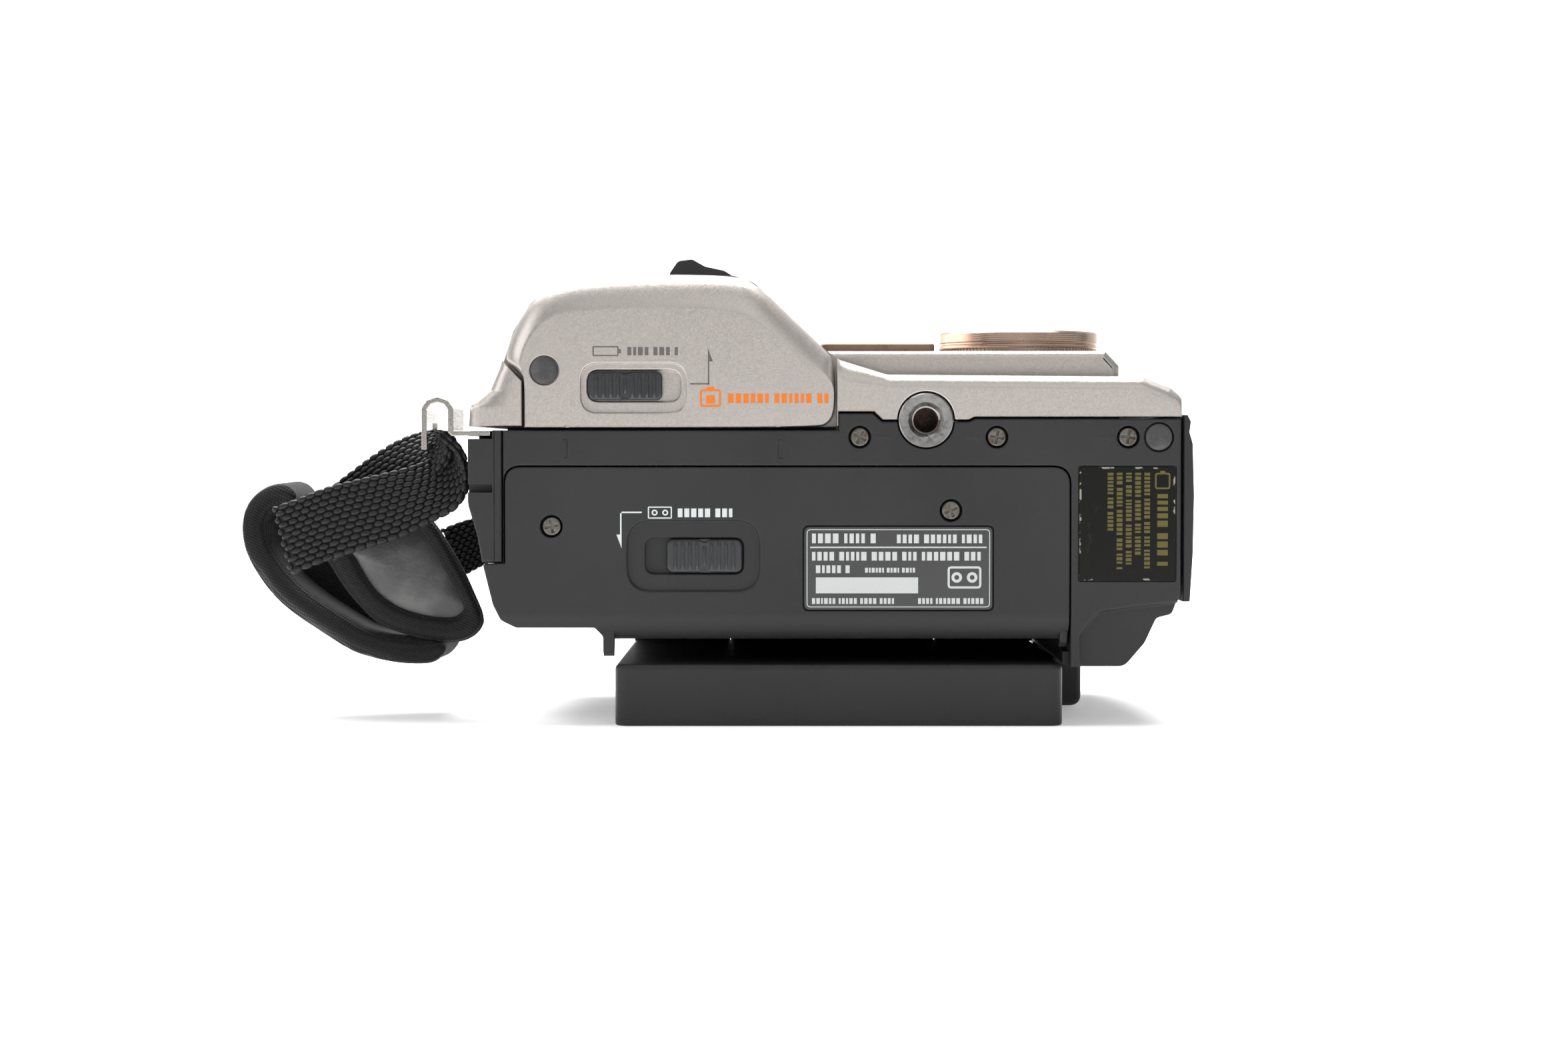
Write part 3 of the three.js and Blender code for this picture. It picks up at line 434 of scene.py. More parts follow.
def spark_grained(name, base, rough=0.52):
    """Moulded plastic with a fine spark-eroded grain, faint handling marks and paler worn edges."""
    net = Net(name, ior=1.3)
    grain = net.noise(5200, 2.0, 0.6)
    broad = net.noise(38, 4.0, 0.6)
    scuffs = net.noise(420, 3.0, 0.7, net.stretched((1, 1, 0.25), (0, 0.5, 0))).ramp(0.66, 0.78)
    wear = net.worn_edges(0.0004) * net.noise(260, 3.0).ramp(0.35, 0.7)
    colour = net.mix(broad.ramp(0.3, 0.7), tinted(base, 0.93), tinted(base, 1.08))
    colour = net.mix(scuffs * 0.10, colour, tinted(base, 2.2))
    colour = net.mix(wear * 0.35, colour, tinted(base, 3.0))
    roughness = broad.ramp(0.25, 0.75, rough - 0.05, rough + 0.06) - scuffs * 0.08 + (grain - 0.5) * 0.08
    return net.finish(colour, roughness, net.bump(grain, 0.00004, 0.55))


def dark_plastic(name):
    return spark_grained(name, palette().dark, 0.46)


def dark_smooth(name):
    """The same plastic with a polished mould, as on rims and hinges."""
    net = Net(name, ior=1.4)
    broad = net.noise(60, 3.0)
    base = palette().dark
    return net.finish(net.mix(broad, tinted(base, 0.7), tinted(base, 0.9)), broad.ramp(0.3, 0.7, 0.3, 0.4),
                      net.bump(net.noise(900), 0.00002, 0.4))


def silver_lacquer(name):
    """Silver lacquer: metal flakes under a thin satin coat, grey in the worn edges."""
    base = palette().silver
    net = Net(name, ior=1.5, coat_weight=0.25, coat_roughness=0.22)
    flakes = net.cells(3600, output="Color")
    flake = net.node("ShaderNodeRGBToBW", None, {0: flakes})
    grain = net.noise(2600, 2.0, 0.6)
    broad = net.noise(30, 4.0, 0.55)
    colour = net.mix(flake, tinted(base, 0.86), tinted(base, 1.13))
    colour = net.mix(broad.ramp(0.3, 0.7) * 0.3, colour, tinted(base, 0.95))
    wear = net.worn_edges(0.0003) * net.noise(300, 3.0).ramp(0.45, 0.75)
    colour = net.mix(wear * 0.5, colour, tinted(base, 0.45))
    roughness = 0.30 + flake * 0.14 + (broad - 0.5) * 0.1
    return net.finish(colour, roughness, net.bump(grain + flake * 0.6, 0.00003, 0.45), 0.62 + flake * 0.2)


def knob_plastic(name):
    net = Net(name, ior=1.48)
    base = palette().knob
    broad = net.noise(90, 3.0)
    wear = net.worn_edges(0.0003) * net.noise(500, 3.0).ramp(0.35, 0.7)
    colour = net.mix(broad, tinted(base, 0.85), tinted(base, 1.2))
    colour = net.mix(wear * 0.6, colour, tinted(base, 4.0))
    return net.finish(colour, broad.ramp(0.3, 0.7, 0.27, 0.4), net.bump(net.noise(1500), 0.00002, 0.5))


def worn_steel(name):
    """Plated steel, dulled and marked in patches."""
    net = Net(name, metallic=1.0)
    marks = net.noise(900, 4.0, 0.65)
    brown = net.noise(420, 4.0, 0.7).ramp(0.48, 0.7)
    colour = net.mix(marks, (0.30, 0.29, 0.27), (0.56, 0.55, 0.53))
    colour = net.mix(brown * 0.6, colour, (0.11, 0.085, 0.06))
    return net.finish(colour, marks.ramp(0.3, 0.7, 0.2, 0.42), net.bump(marks, 0.00004, 0.5), 1 - brown * 0.5)


def insert_steel(name):
    """The tripod insert: worn plated steel, brown with rust and dark with painted shade down in its thread.
    """
    net = Net(name)
    y = net.parts()[1]
    # deep rises with depth into the hole; the darkening it gives there is painted shade, mixed with real
    # brown rust
    deep = ((y - NEAR * MM) * 1000).ramp(0.9, 2.6)
    marks = net.noise(900, 4.0, 0.65)
    rust = net.noise(500, 4.0, 0.7).ramp(0.35, 0.65)
    colour = net.mix(marks, (0.17, 0.165, 0.16), (0.33, 0.32, 0.31))
    # near-black painted shade of the hole, with brown rust in patches
    inside = net.mix(rust, (0.03, 0.022, 0.018), (0.14, 0.075, 0.045))
    colour = net.mix(deep, colour, inside)
    roughness = marks.ramp(0.3, 0.7, 0.25, 0.45) + deep * 0.2
    return net.finish(colour, roughness, net.bump(marks, 0.00005, 0.6), 1 - deep * 0.7)


def screw_steel(name):
    """Blackened screw steel with bright rubbed edges and brown dirt in patches."""
    net = Net(name, metallic=1.0)
    marks = net.noise(1600, 4.0, 0.7)
    rubbed = net.worn_edges(0.00025)
    brown = net.noise(700, 3.0).ramp(0.5, 0.66)
    colour = net.mix(marks, (0.07, 0.066, 0.06), (0.20, 0.19, 0.17))
    colour = net.mix(brown * 0.7, colour, (0.10, 0.07, 0.045))
    colour = net.mix(rubbed * 0.5, colour, (0.45, 0.43, 0.39))
    return net.finish(colour, marks.ramp(0.3, 0.7, 0.26, 0.46), net.bump(marks, 0.00004, 0.6))


def brushed_steel(name):
    """Flat steel strip with fine brush lines along its bends."""
    net = Net(name, metallic=1.0)
    lines = net.noise(500, 3.0, 0.6, net.stretched((12, 0.4, 12)))
    colour = net.mix(lines, (0.36, 0.35, 0.32), (0.56, 0.54, 0.50))
    return net.finish(colour, lines.ramp(0.3, 0.7, 0.14, 0.3), net.bump(lines, 0.00002, 0.4))


def turned_champagne(name):
    """Anodised aluminium with the fine rings that turning leaves."""
    base = palette().champagne
    net = Net(name, metallic=1.0)
    x, y, z = net.parts()
    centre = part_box("lens_ring")
    middle = [(low + high) / 2 for low, high in zip(*centre)]
    reach = ((x - middle[0]) ** 2.0 + (y - middle[1]) ** 2.0) ** 0.5
    rings = (reach * 9000 + z * 14000).sin()
    cloud = net.noise(120, 3.0)
    colour = net.mix(cloud, tinted(base, 0.9), tinted(base, 1.15))
    return net.finish(colour, cloud.ramp(0.3, 0.7, 0.2, 0.3), net.bump(rings, 0.00001, 0.3))


def inlay_brown(name):
    net = Net(name, metallic=0.45, coat_weight=0.15, coat_roughness=0.25)
    base = palette().inlay
    lines = net.noise(300, 3.0, 0.6, net.stretched((1, 14, 1)))
    colour = net.mix(lines, tinted(base, 0.85), tinted(base, 1.25))
    return net.finish(colour, lines.ramp(0.3, 0.7, 0.26, 0.38), net.bump(net.noise(2600), 0.00002, 0.3))


def black_moulding(name):
    net = Net(name, ior=1.45)
    grain = net.noise(3000, 2.0)
    colour = net.mix(net.noise(80, 3.0), (0.010, 0.010, 0.011), (0.018, 0.018, 0.019))
    return net.finish(colour, grain.ramp(0.3, 0.7, 0.45, 0.6), net.bump(grain, 0.00003, 0.5))


def foot_rubber(name):
    """Dull rubber with dust in its pores."""
    net = Net(name, ior=1.45)
    pores = net.noise(1500, 3.0, 0.7)
    dust = net.noise(220, 4.0, 0.6).ramp(0.45, 0.8)
    colour = net.mix(dust * 0.5, (0.045, 0.045, 0.046), (0.16, 0.155, 0.15))
    return net.finish(colour, pores.ramp(0.3, 0.7, 0.7, 0.9), net.bump(pores, 0.0001, 0.7))


def coated_glass(name):
    """Lens glass, dark inside, with a violet and green coating that shows at a slant as a painted reflection:
    its tint is painted into the colour by viewing angle.
    """
    net = Net(name, roughness=0.02, ior=1.62, coat_weight=1.0, coat_roughness=0.01)
    slant_painted_reflection = net.node("ShaderNodeLayerWeight", None, {"Blend": 0.35}, "Facing")
    # painted reflection: the colour turns violet where the glass is seen at a slant
    colour = net.mix(slant_painted_reflection.ramp(0.1, 0.8), (0.006, 0.007, 0.022), (0.05, 0.025, 0.085))
    return net.finish(colour, None, None)


def screen_glass(name):
    net = Net(name, roughness=0.06, ior=1.5, coat_weight=1.0, coat_roughness=0.02)
    smears = net.noise(45, 5.0, 0.7).ramp(0.45, 0.75)
    return net.finish(net.mix(smears, (0.008, 0.009, 0.011), (0.014, 0.015, 0.018)), smears * 0.08 + 0.04)


def circuit_board(name):
    """Green lacquer over copper tracks, with tinned pads."""
    net = Net(name, ior=1.5, coat_weight=0.4)
    tracks = net.cells(420, feature="DISTANCE_TO_EDGE").ramp(0.05, 0.09)
    pads = net.cells(650).ramp(0.12, 0.16)
    colour = net.mix(tracks, (0.02, 0.16, 0.06), (0.012, 0.085, 0.03))
    colour = net.mix(pads, (0.6, 0.58, 0.52), colour)
    return net.finish(colour, 0.3 + pads * 0.1, net.bump(tracks, 0.00003, 0.5), 1 - pads)


def contact_brass(name):
    net = Net(name, metallic=1.0)
    marks = net.noise(700, 4.0, 0.6)
    colour = net.mix(marks, (0.60, 0.40, 0.13), (0.86, 0.63, 0.28))
    return net.finish(colour, marks.ramp(0.3, 0.7, 0.18, 0.34), net.bump(marks, 0.00002, 0.4))


def zinc_sheet(name):
    """Zinc-plated sheet and motor cans, with a faint crystalline spangle."""
    net = Net(name, metallic=1.0)
    spangle = net.node("ShaderNodeRGBToBW", None, {0: net.cells(260, output="Color")})
    colour = net.mix(spangle, (0.42, 0.42, 0.41), (0.58, 0.58, 0.56))
    return net.finish(colour, spangle * 0.12 + 0.3, net.bump(net.noise(900), 0.00003, 0.3))


def polished_drum(name):
    """Mirror-turned head drum with very fine grooves round its axis."""
    net = Net(name, metallic=1.0)
    height = net.parts()[2]
    grooves = (height * 26000).sin()
    colour = net.mix(grooves * 0.5 + 0.5, (0.72, 0.72, 0.71), (0.84, 0.84, 0.83))
    return net.finish(colour, 0.09 + net.noise(200) * 0.05, net.bump(grooves, 0.00001, 0.3))


def diffuser_white(name):
    net = Net(name, ior=1.49, subsurface_weight=0.1)
    cloud = net.noise(70, 3.0)
    return net.finish(net.mix(cloud, (0.76, 0.76, 0.74), (0.84, 0.84, 0.82)), cloud * 0.1 + 0.45)


def sensor_face(name):
    """Dark ceramic and filter glass with a very fine grid."""
    net = Net(name, ior=1.52)
    x, y, z = net.parts()
    grid = ((x * 12000).sin() * (z * 12000).sin() + (y * 12000).sin()) * 0.5
    colour = net.mix(grid.ramp(-0.5, 0.5), (0.02, 0.022, 0.026), (0.034, 0.036, 0.04))
    return net.finish(colour, 0.2 + net.noise(300) * 0.15, net.bump(grid, 0.00001, 0.3))


def battery_wrap(name):
    net = Net(name, ior=1.46)
    grain = net.noise(2600, 2.0)
    colour = net.mix(net.noise(50, 3.0), (0.022, 0.023, 0.026), (0.034, 0.035, 0.038))
    return net.finish(colour, grain.ramp(0.3, 0.7, 0.4, 0.55), net.bump(grain, 0.00004, 0.5))


def button_red(name):
    net = Net(name, ior=1.48, coat_weight=0.3)
    cloud = net.noise(160, 3.0)
    colour = net.mix(cloud, (0.30, 0.022, 0.018), (0.42, 0.04, 0.03))
    return net.finish(colour, cloud.ramp(0.3, 0.7, 0.28, 0.4), net.bump(net.noise(1800), 0.00002, 0.4))


def printed(name, base, rough=0.5):
    """Printing ink, a little thin in places."""
    net = Net(name, ior=1.45)
    thin = net.noise(2200, 3.0, 0.7).ramp(0.55, 0.8)
    return net.finish(net.mix(thin * 0.4, tuple(base[:3]), tinted(base, 0.6)), thin * 0.1 + rough)


def ink_dark(name):
    return printed(name, palette().print_dark)


def ink_light(name):
    return printed(name, palette().print_light)


def ink_orange(name):
    return printed(name, palette().orange)


def ink_white(name):
    return printed(name, (0.50, 0.51, 0.51), 0.45)


def ink_yellow(name):
    return printed(name, (0.085, 0.072, 0.010), 0.6)


def plate_foil(name):
    """Dark printed foil of the type plate, finely brushed."""
    net = Net(name, metallic=0.3, coat_weight=0.3, coat_roughness=0.2)
    lines = net.noise(400, 3.0, 0.6, net.stretched((0.6, 1, 16)))
    base = palette().dark
    colour = net.mix(lines, tinted(base, 1.15), tinted(base, 1.5))
    return net.finish(colour, lines.ramp(0.3, 0.7, 0.34, 0.48), net.bump(lines, 0.00001, 0.3))


def sticker_black(name):
    """Glossy black sticker, scratched and rubbed pale along its edges."""
    net = Net(name, ior=1.25)
    scratches = net.noise(700, 4.0, 0.75, net.stretched((1, 1, 0.12), (0, 0.3, 0))).ramp(0.62, 0.72)
    low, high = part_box("side_label")
    x, _, z = net.parts()
    across = ((x - (low[0] + high[0]) / 2).size() - (high[0] - low[0]) / 2 + 0.0007) * 1000
    along = ((z - (low[2] + high[2]) / 2).size() - (high[2] - low[2]) / 2 + 0.0007) * 1000
    rim = across.math("MAXIMUM", across, along).ramp(0.0, 0.7)
    frayed = (rim * net.noise(260, 4.0, 0.7).ramp(0.5, 0.62)).ramp(0.25, 0.6)
    colour = net.mix(scratches * 0.35, (0.005, 0.005, 0.0045), (0.05, 0.05, 0.04))
    colour = net.mix(frayed, colour, (0.25, 0.24, 0.20))
    roughness = 0.3 + scratches * 0.2 + frayed * 0.2
    return net.finish(colour, roughness, net.bump(scratches + frayed, 0.00003, 0.4))


def strap_weave(name):
    """Black nylon yarn: every strand is made of fine fibres along its length."""
    base = palette().webbing
    net = Net(name, sheen_weight=0.03, sheen_roughness=0.4, ior=1.36)
    fibres = net.noise(5200, 2.0, 0.6, net.stretched((1, 1, 0.3)))
    broad = net.noise(160, 3.0)
    colour = net.mix(fibres, tinted(base, 0.5), tinted(base, 1.9))
    colour = net.mix(broad * 0.4, colour, tinted(base, 0.8))
    return net.finish(colour, fibres.ramp(0.3, 0.7, 0.42, 0.6), net.bump(fibres, 0.00006, 0.8))


def pad_knit(name):
    """Knitted binding: fine rows of stitches over soft foam, whose relief is also painted into the colour as
    shade in the hollows and highlight on the crests.
    """
    base = palette().pad
    net = Net(name, sheen_weight=0.05, sheen_roughness=0.5, ior=1.33)
    x, y, z = net.parts()
    stitch_relief_and_painted_light = ((x * 7200 + z * 3100).sin() * (z * 6900 - x * 2600 + y * 2600).sin() + (y * 7000).sin()) * 0.5
    lint = net.cells(340, where=net.stretched((1, 1, 1))).ramp(0.03, 0.012)
    cloud = net.noise(90, 3.0)
    # the stitch relief as colour: painted shade in its hollows, painted highlight on its crests
    colour = net.mix(stitch_relief_and_painted_light.ramp(-0.6, 0.7), tinted(base, 0.5), tinted(base, 1.9))
    colour = net.mix(cloud * 0.5, colour, tinted(base, 1.3))
    colour = net.mix(lint * 0.4, colour, (0.16, 0.16, 0.16))
    return net.finish(colour, 0.72 + cloud * 0.15, net.bump(stitch_relief_and_painted_light, 0.00016, 0.8))


def pad_leather(name):
    """Grey-black leather, smooth and rubbed, with fine pores."""
    net = Net(name, ior=1.48, coat_weight=0.15, coat_roughness=0.3)
    pores = net.cells(1300)
    rubbed = net.noise(110, 3.0).ramp(0.4, 0.7)
    colour = net.mix(rubbed, (0.030, 0.030, 0.031), (0.075, 0.074, 0.072))
    return net.finish(colour, rubbed.ramp(0.0, 1.0, 0.45, 0.33), net.bump(pores, 0.00006, 0.6))


def pale_floor(name):
    net = Net(name, roughness=0.75, ior=1.3, emission_color=(1, 1, 1, 1), emission_strength=0.3)
    cloud = net.noise(3, 3.0)
    return net.finish(net.mix(cloud, (0.90, 0.90, 0.90), (0.93, 0.93, 0.93)))


# ---------------------------------------------------------------- Geometry Nodes


class Growth:
    """A geometry node tree with named inputs, which ends by realizing its copies and giving them a finish."""

    KINDS = {int: "NodeSocketInt", float: "NodeSocketFloat", tuple: "NodeSocketVector"}

    def __init__(self, name, **inputs):
        self.tree = bpy.data.node_groups.new(name, "GeometryNodeTree")
        face = self.tree.interface
        face.new_socket("Geometry", in_out="INPUT", socket_type="NodeSocketGeometry")
        face.new_socket("Geometry", in_out="OUTPUT", socket_type="NodeSocketGeometry")
        self.sockets = {}
        for key, value in inputs.items():
            kind = value if isinstance(value, str) else self.KINDS[type(value)]
            label = key.replace("_", " ").capitalize()
            self.sockets[key] = face.new_socket(label, in_out="INPUT", socket_type=kind)
            if not isinstance(value, str):
                self.sockets[key].default_value = value
        self.entry = self.tree.nodes.new("NodeGroupInput")

    def given(self, key):
        return self.entry.outputs[self.sockets[key].name]

    def node(self, kind, settings=None, values=None, output=0):
        made = self.tree.nodes.new(kind)
        for key, value in (settings or {}).items():
            setattr(made, key, value)
        for key, value in (values or {}).items():
            if isinstance(value, bpy.types.NodeSocket):
                self.tree.links.new(value, made.inputs[key])
            else:
                made.inputs[key].default_value = value
        return made.outputs[output]

    def end(self, geometry):
        real = self.node("GeometryNodeRealizeInstances", None, {0: geometry})
        inputs = {"Geometry": real, "Material": self.given("finish")}
        done = self.node("GeometryNodeSetMaterial", None, inputs)
        leave = self.tree.nodes.new("NodeGroupOutput")
        self.tree.links.new(done, leave.inputs[0])


def copies_tree():
    """Copies an object onto the points of a mesh, each turned and scaled by the point's own values."""
    growth = Growth("camcorder_copies", copy="NodeSocketObject", size=1.0, finish="NodeSocketMaterial")
    shape = growth.node("GeometryNodeObjectInfo", None, {"Object": growth.given("copy")}, "Geometry")
    turn = growth.node("GeometryNodeInputNamedAttribute", {"data_type": "FLOAT_VECTOR"}, {"Name": "turn"})
    scale = growth.node("GeometryNodeInputNamedAttribute", {"data_type": "FLOAT_VECTOR"}, {"Name": "stretch"})
    sized = growth.node("ShaderNodeVectorMath", {"operation": "SCALE"},
                        {0: scale, "Scale": growth.given("size")})
    spin = growth.node("FunctionNodeEulerToRotation", None, {0: turn})
    placed = growth.node("GeometryNodeInstanceOnPoints", None, {
        "Points": growth.entry.outputs[0], "Instance": shape, "Rotation": spin, "Scale": sized})
    growth.end(placed)
    return growth


def ridges_tree():
    """Fine ridges in a circle round an axis, joined to the piece that they stand on."""
    growth = Growth("camcorder_ridges", count=60, radius=0.01, ridge=(0.001, 0.001, 0.001),
                    centre=(0.0, 0.0, 0.0), turn=(0.0, 0.0, 0.0), finish="NodeSocketMaterial")
    ring = growth.node("GeometryNodeMeshCircle", None,
                       {"Vertices": growth.given("count"), "Radius": growth.given("radius")})
    bar = growth.node("GeometryNodeMeshCube", None, {"Size": growth.given("ridge")})
    place = growth.node("GeometryNodeInputPosition")
    parts = growth.node("ShaderNodeSeparateXYZ", None, {0: place}).node
    angle = growth.node("ShaderNodeMath", {"operation": "ARCTAN2"},
                        {0: parts.outputs[1], 1: parts.outputs[0]})
    spin = growth.node("ShaderNodeCombineXYZ", None, {2: angle})
    rotation = growth.node("FunctionNodeEulerToRotation", None, {0: spin})
    placed = growth.node("GeometryNodeInstanceOnPoints", None,
                         {"Points": ring, "Instance": bar, "Rotation": rotation})
    moved = growth.node("GeometryNodeTransform", None, {
        "Geometry": placed, "Translation": growth.given("centre"), "Rotation": growth.given("turn")})
    both = growth.node("GeometryNodeJoinGeometry", None, {0: moved})
    growth.tree.links.new(growth.entry.outputs[0], both.node.inputs[0])
    growth.end(both)
    return growth


def thread_tree():
    """A screw thread: a helix with a three-sided section."""
    growth = Growth("camcorder_thread", turns=8.0, radius=0.003, pitch=0.00127, depth=0.0003,
                    centre=(0.0, 0.0, 0.0), turn=(0.0, 0.0, 0.0), finish="NodeSocketMaterial")
    tall = growth.node("ShaderNodeMath", {"operation": "MULTIPLY"},
                       {0: growth.given("turns"), 1: growth.given("pitch")})
    helix = growth.node("GeometryNodeCurveSpiral", None, {
        "Resolution": 24, "Rotations": growth.given("turns"), "Start Radius": growth.given("radius"),
        "End Radius": growth.given("radius"), "Height": tall})
    section = growth.node("GeometryNodeCurvePrimitiveCircle", None,
                          {"Resolution": 3, "Radius": growth.given("depth")})
    tube = growth.node("GeometryNodeCurveToMesh", None,
                       {"Curve": helix, "Profile Curve": section, "Fill Caps": True})
    moved = growth.node("GeometryNodeTransform", None, {
        "Geometry": tube, "Translation": growth.given("centre"), "Rotation": growth.given("turn")})
    both = growth.node("GeometryNodeJoinGeometry", None, {0: moved})
    growth.tree.links.new(growth.entry.outputs[0], both.node.inputs[0])
    growth.end(both)
    return growth


TREES = {}


def grown(piece, make, finish, **values):
    """The piece after a geometry node tree has worked on it, as a plain mesh."""
    if make.__name__ not in TREES:
        TREES[make.__name__] = make()
    growth = TREES[make.__name__]
    modifier = piece.modifiers.new("growth", "NODES")
    modifier.node_group = growth.tree
    modifier[growth.sockets["finish"].identifier] = finish
    for key, value in values.items():
        modifier[growth.sockets[key].identifier] = value
    return baked(piece)


def copies(name, shape, spots, finish, size=1.0):
    """Copies of a shape at spots (place, turn, stretch), in millimetres and radians."""
    mesh = bpy.data.meshes.new(name)
    mesh.from_pydata([[part * MM for part in place] for place, _, _ in spots], [], [])
    for key, which in (("turn", 1), ("stretch", 2)):
        values = mesh.attributes.new(key, "FLOAT_VECTOR", "POINT")
        for spot, value in zip(spots, values.data):
            value.vector = spot[which]
    points = new_object(name, mesh)
    done = grown(points, copies_tree, finish, copy=shape, size=size)
    bpy.data.objects.remove(shape)
    return done


# ---------------------------------------------------------------- shared shapes

PANEL = {"half": 46.6, "thick": 12.8, "far": 32.6}
TILT = {"y": 37.2, "z": 8.4, "knuckle": 3.6, "bore": 1.8, "inner": 24.3, "outer": 40.0}
LID = {"left": -69.2, "right": 47.8, "top": 53.8, "hinge_y": -37.5, "hinge_z": 23.3, "curl": 5.5}
LIDPIN = {"y": -36.85, "z": 92.2, "sweep": 2.8}
HOUSING = {"left": -5.0, "right": 58.9, "top": 78.1, "near": -36.0, "far": 34.0}
LENS = {"x": 40.0, "y": -8.0, "ring": 17.5, "barrel": 13.2, "top": 82.9}
TRIPOD = {"x": 18.0, "z": 63.5, "ring": 5.65, "hole": 2.9, "deep": 13.0}
FRAME_SCREWS = [(4.3, 60.0), (32.7, 60.0), (59.9, 60.0)]
LID_SCREWS = [(-59.6, 41.5), (23.2, 44.8)]
BATTERY_KNOB = (-51.9, -36.6, 67.6, 73.6)
EJECT_KNOB = (-35.7, -20.1, 31.9, 38.8)
RIGHT_FOOT = (66.2, 60.0)
LEFT_FOOT = (-61.0, 73.8)
DIAL = {"x": -52.0, "z": 46.0, "radius": 8.5}
ZOOM = {"x": -32.0, "z": 79.5, "inner": 7.4, "outer": 11.0}
TOP_BUTTONS = [(22.0, 48.0), (36.0, 48.0)]
SOCKETS = [34.0, 44.0, 54.0]

REAR = [
    (-69.6, 61.4), (-69.6, 33.7, 1), (-72.8, 33.4, 0.6), (-70.8, 25.6, 3), (-69.2, 22.2, 2), (-66.6, 20.8, 1),
    (-50.4, 20.8, 1), (-46.4, 18, 1), (46.9, 18), (46.9, 12.3, 1), (59.4, 12.3, 3), (63.6, 17.2, 4),
    (66, 22.4, 1.5), (69.2, 23.2, 1.5), (70.8, 27.4, 3), (70.8, 63.8), (28.2, 63.8), (27, 63.2),
    (8.9, 63.2), (7, 64.9), (-0.1, 64.9), (-0.1, 61.4),
]

# The silver shell's widest outline, and its flat underside, which the rounded edge leads to.
FRONT = [
    (-76.9, 62.2), (-0.4, 62.2), (-0.4, 65.2), (7.2, 65.2), (9, 63.5), (26.9, 63.5),
    (28.1, 64.1), (71.2, 64.1), (71.2, 68.3, 1.5), (69, 70.2, 1.5), (62.9, 72.6, 2), (10, 73, 4),
    (0.2, 76, 3), (-3.9, 79.3, 3), (-17.6, 92.4, 4), (-22, 93.9, 2), (-35, 94.1), (-56.1, 93, 4),
    (-64, 88.6, 5), (-68, 82.2, 4), (-70.6, 74, 3), (-72.4, 69.8, 1), (-76.7, 66.4, 1.2),
]
FRONT_FLAT = [
    (-69, 62.4), (-0.2, 62.4), (-0.2, 65.4), (7.3, 65.4), (9.1, 63.7), (26.8, 63.7),
    (28, 64.3), (70.8, 64.3), (70.6, 66.6, 1.5), (67.4, 67.6, 1.5), (62.2, 69.8, 2), (10, 70.2, 4),
    (1.4, 71.4, 3), (-2.6, 74.6, 3), (-14.6, 86.4, 4), (-20, 88, 2), (-35, 88.4), (-54, 87.4, 4),
    (-61, 84, 5), (-64.6, 79.4, 4), (-67, 73, 3), (-68, 69, 1), (-69, 66.4, 1.2),
]

LID_EDGE = [
    (-65.4, 61.8), (-4.4, 61.8), (-1.6, 63), (-0.7, 65.8), (-0.7, 71.7), (-1.1, 76.4), (-3.9, 79.2),
    (-11, 86), (-17.6, 92.2), (-21.8, 93.6), (-35, 93.9), (-48.2, 93.5), (-57.2, 92.6), (-60.8, 91),
    (-64, 88.3),
    (-67.7, 82.4), (-69.8, 76), (-67.2, 73.9), (-65.4, 72),
]
LID_FLAT = [
    (-65, 62.1), (-4.5, 62.1), (-2, 63.3), (-1.1, 65.9), (-1.1, 71.2), (-3.4, 73), (-6, 74.5), (-11.2, 78.9),
    (-17.6, 84.3), (-21.8, 85.9), (-35, 86.8), (-48.2, 86.3), (-57.2, 85.6), (-60.8, 84.1), (-63.8, 80.9),
    (-65.4, 77.2), (-65.9, 75), (-65.7, 73.4), (-65, 72.1),
]
LID_SEAT = [
    (-65.7, 55), (-0.4, 55), (-0.4, 100), (-80, 100), (-80, 76.3), (-70.5, 76.3), (-67.9, 73.8),
    (-65.7, 71.6),
]

CASSETTE = [
    (-69.2, 53.8, 3.4), (-69.2, 33.8), (-73.9, 33.7, 0.6), (-71.8, 25.2, 3), (-70.2, 22, 2), (-67, 20.4, 1),
    (-50.7, 20.4, 1), (-49.2, 18.6, 1), (-49, 15, 0.6), (-47.6, 13.4, 0.4), (-46.8, 14.4, 0.5),
    (-46, 17.9, 0.6), (45.9, 17.9, 0.4), (46.2, 15.8, 0.4), (47.4, 15.6, 0.4), (47.8, 23.4),
    (47.8, 53.8, 3.6),
]


def vectors(pairs):
    return [Vector(pair[:2]) for pair in pairs]


def bulged(name, flat, edge, near, far, drop, axis="y", steps=6):
    """A solid whose flat near face leads to its widest outline by a quarter round."""
    rings = []
    for k in range(steps + 1):
        a = math.pi / 2 * k / steps
        points = [p.lerp(q, math.sin(a)) for p, q in zip(flat, edge)]
        rings.append((points, near + drop * (1 - math.cos(a))))
    rings.append((edge, far))
    return loft(name, rings, axis)


def screw_recess(x, z):
    """A cutter for a screw's counterbore, open to the underside."""
    return pocket("recess", circle(x, z, 2.35, 32), NEAR, NEAR + 2.4, 0.25, 0)


def screw_shape():
    """A pan-head screw seen along -Y, at the origin, with a cross recess; one millimetre is one unit."""
    head = rod("head", "y", 0, 0, 0.7, 2.1, 2.1, 24, start=0.45)
    cross = [box("bar", -1.5, 1.5, 0, 1.8, -0.36, 0.36), box("bar", -0.36, 0.36, 0, 1.8, -1.5, 1.5)]
    return carve(head, *cross)


def knob_body(name, x0, x1, z0, z1, stem):
    """A sliding knob: a rounded bar with finger notches at its middle and a stem behind it."""
    body = slab(name, rectangle(x0, x1, z0, z1, 1.5), NEAR + 0.3, NEAR + 1.75, start=0.55)
    middle = (x0 + x1) / 2
    notches = [rod("notch", "y", middle, z, NEAR - 1, NEAR + 1.1, 1.15, 24) for z in (z0 - 0.35, z1 + 0.35)]
    body = carve(body, *notches)
    heart = (z0 + z1) / 2
    return join(name, [body, box("stem", *stem, NEAR + 1.6, NEAR + 3.4, heart - 0.6, heart + 0.6)])


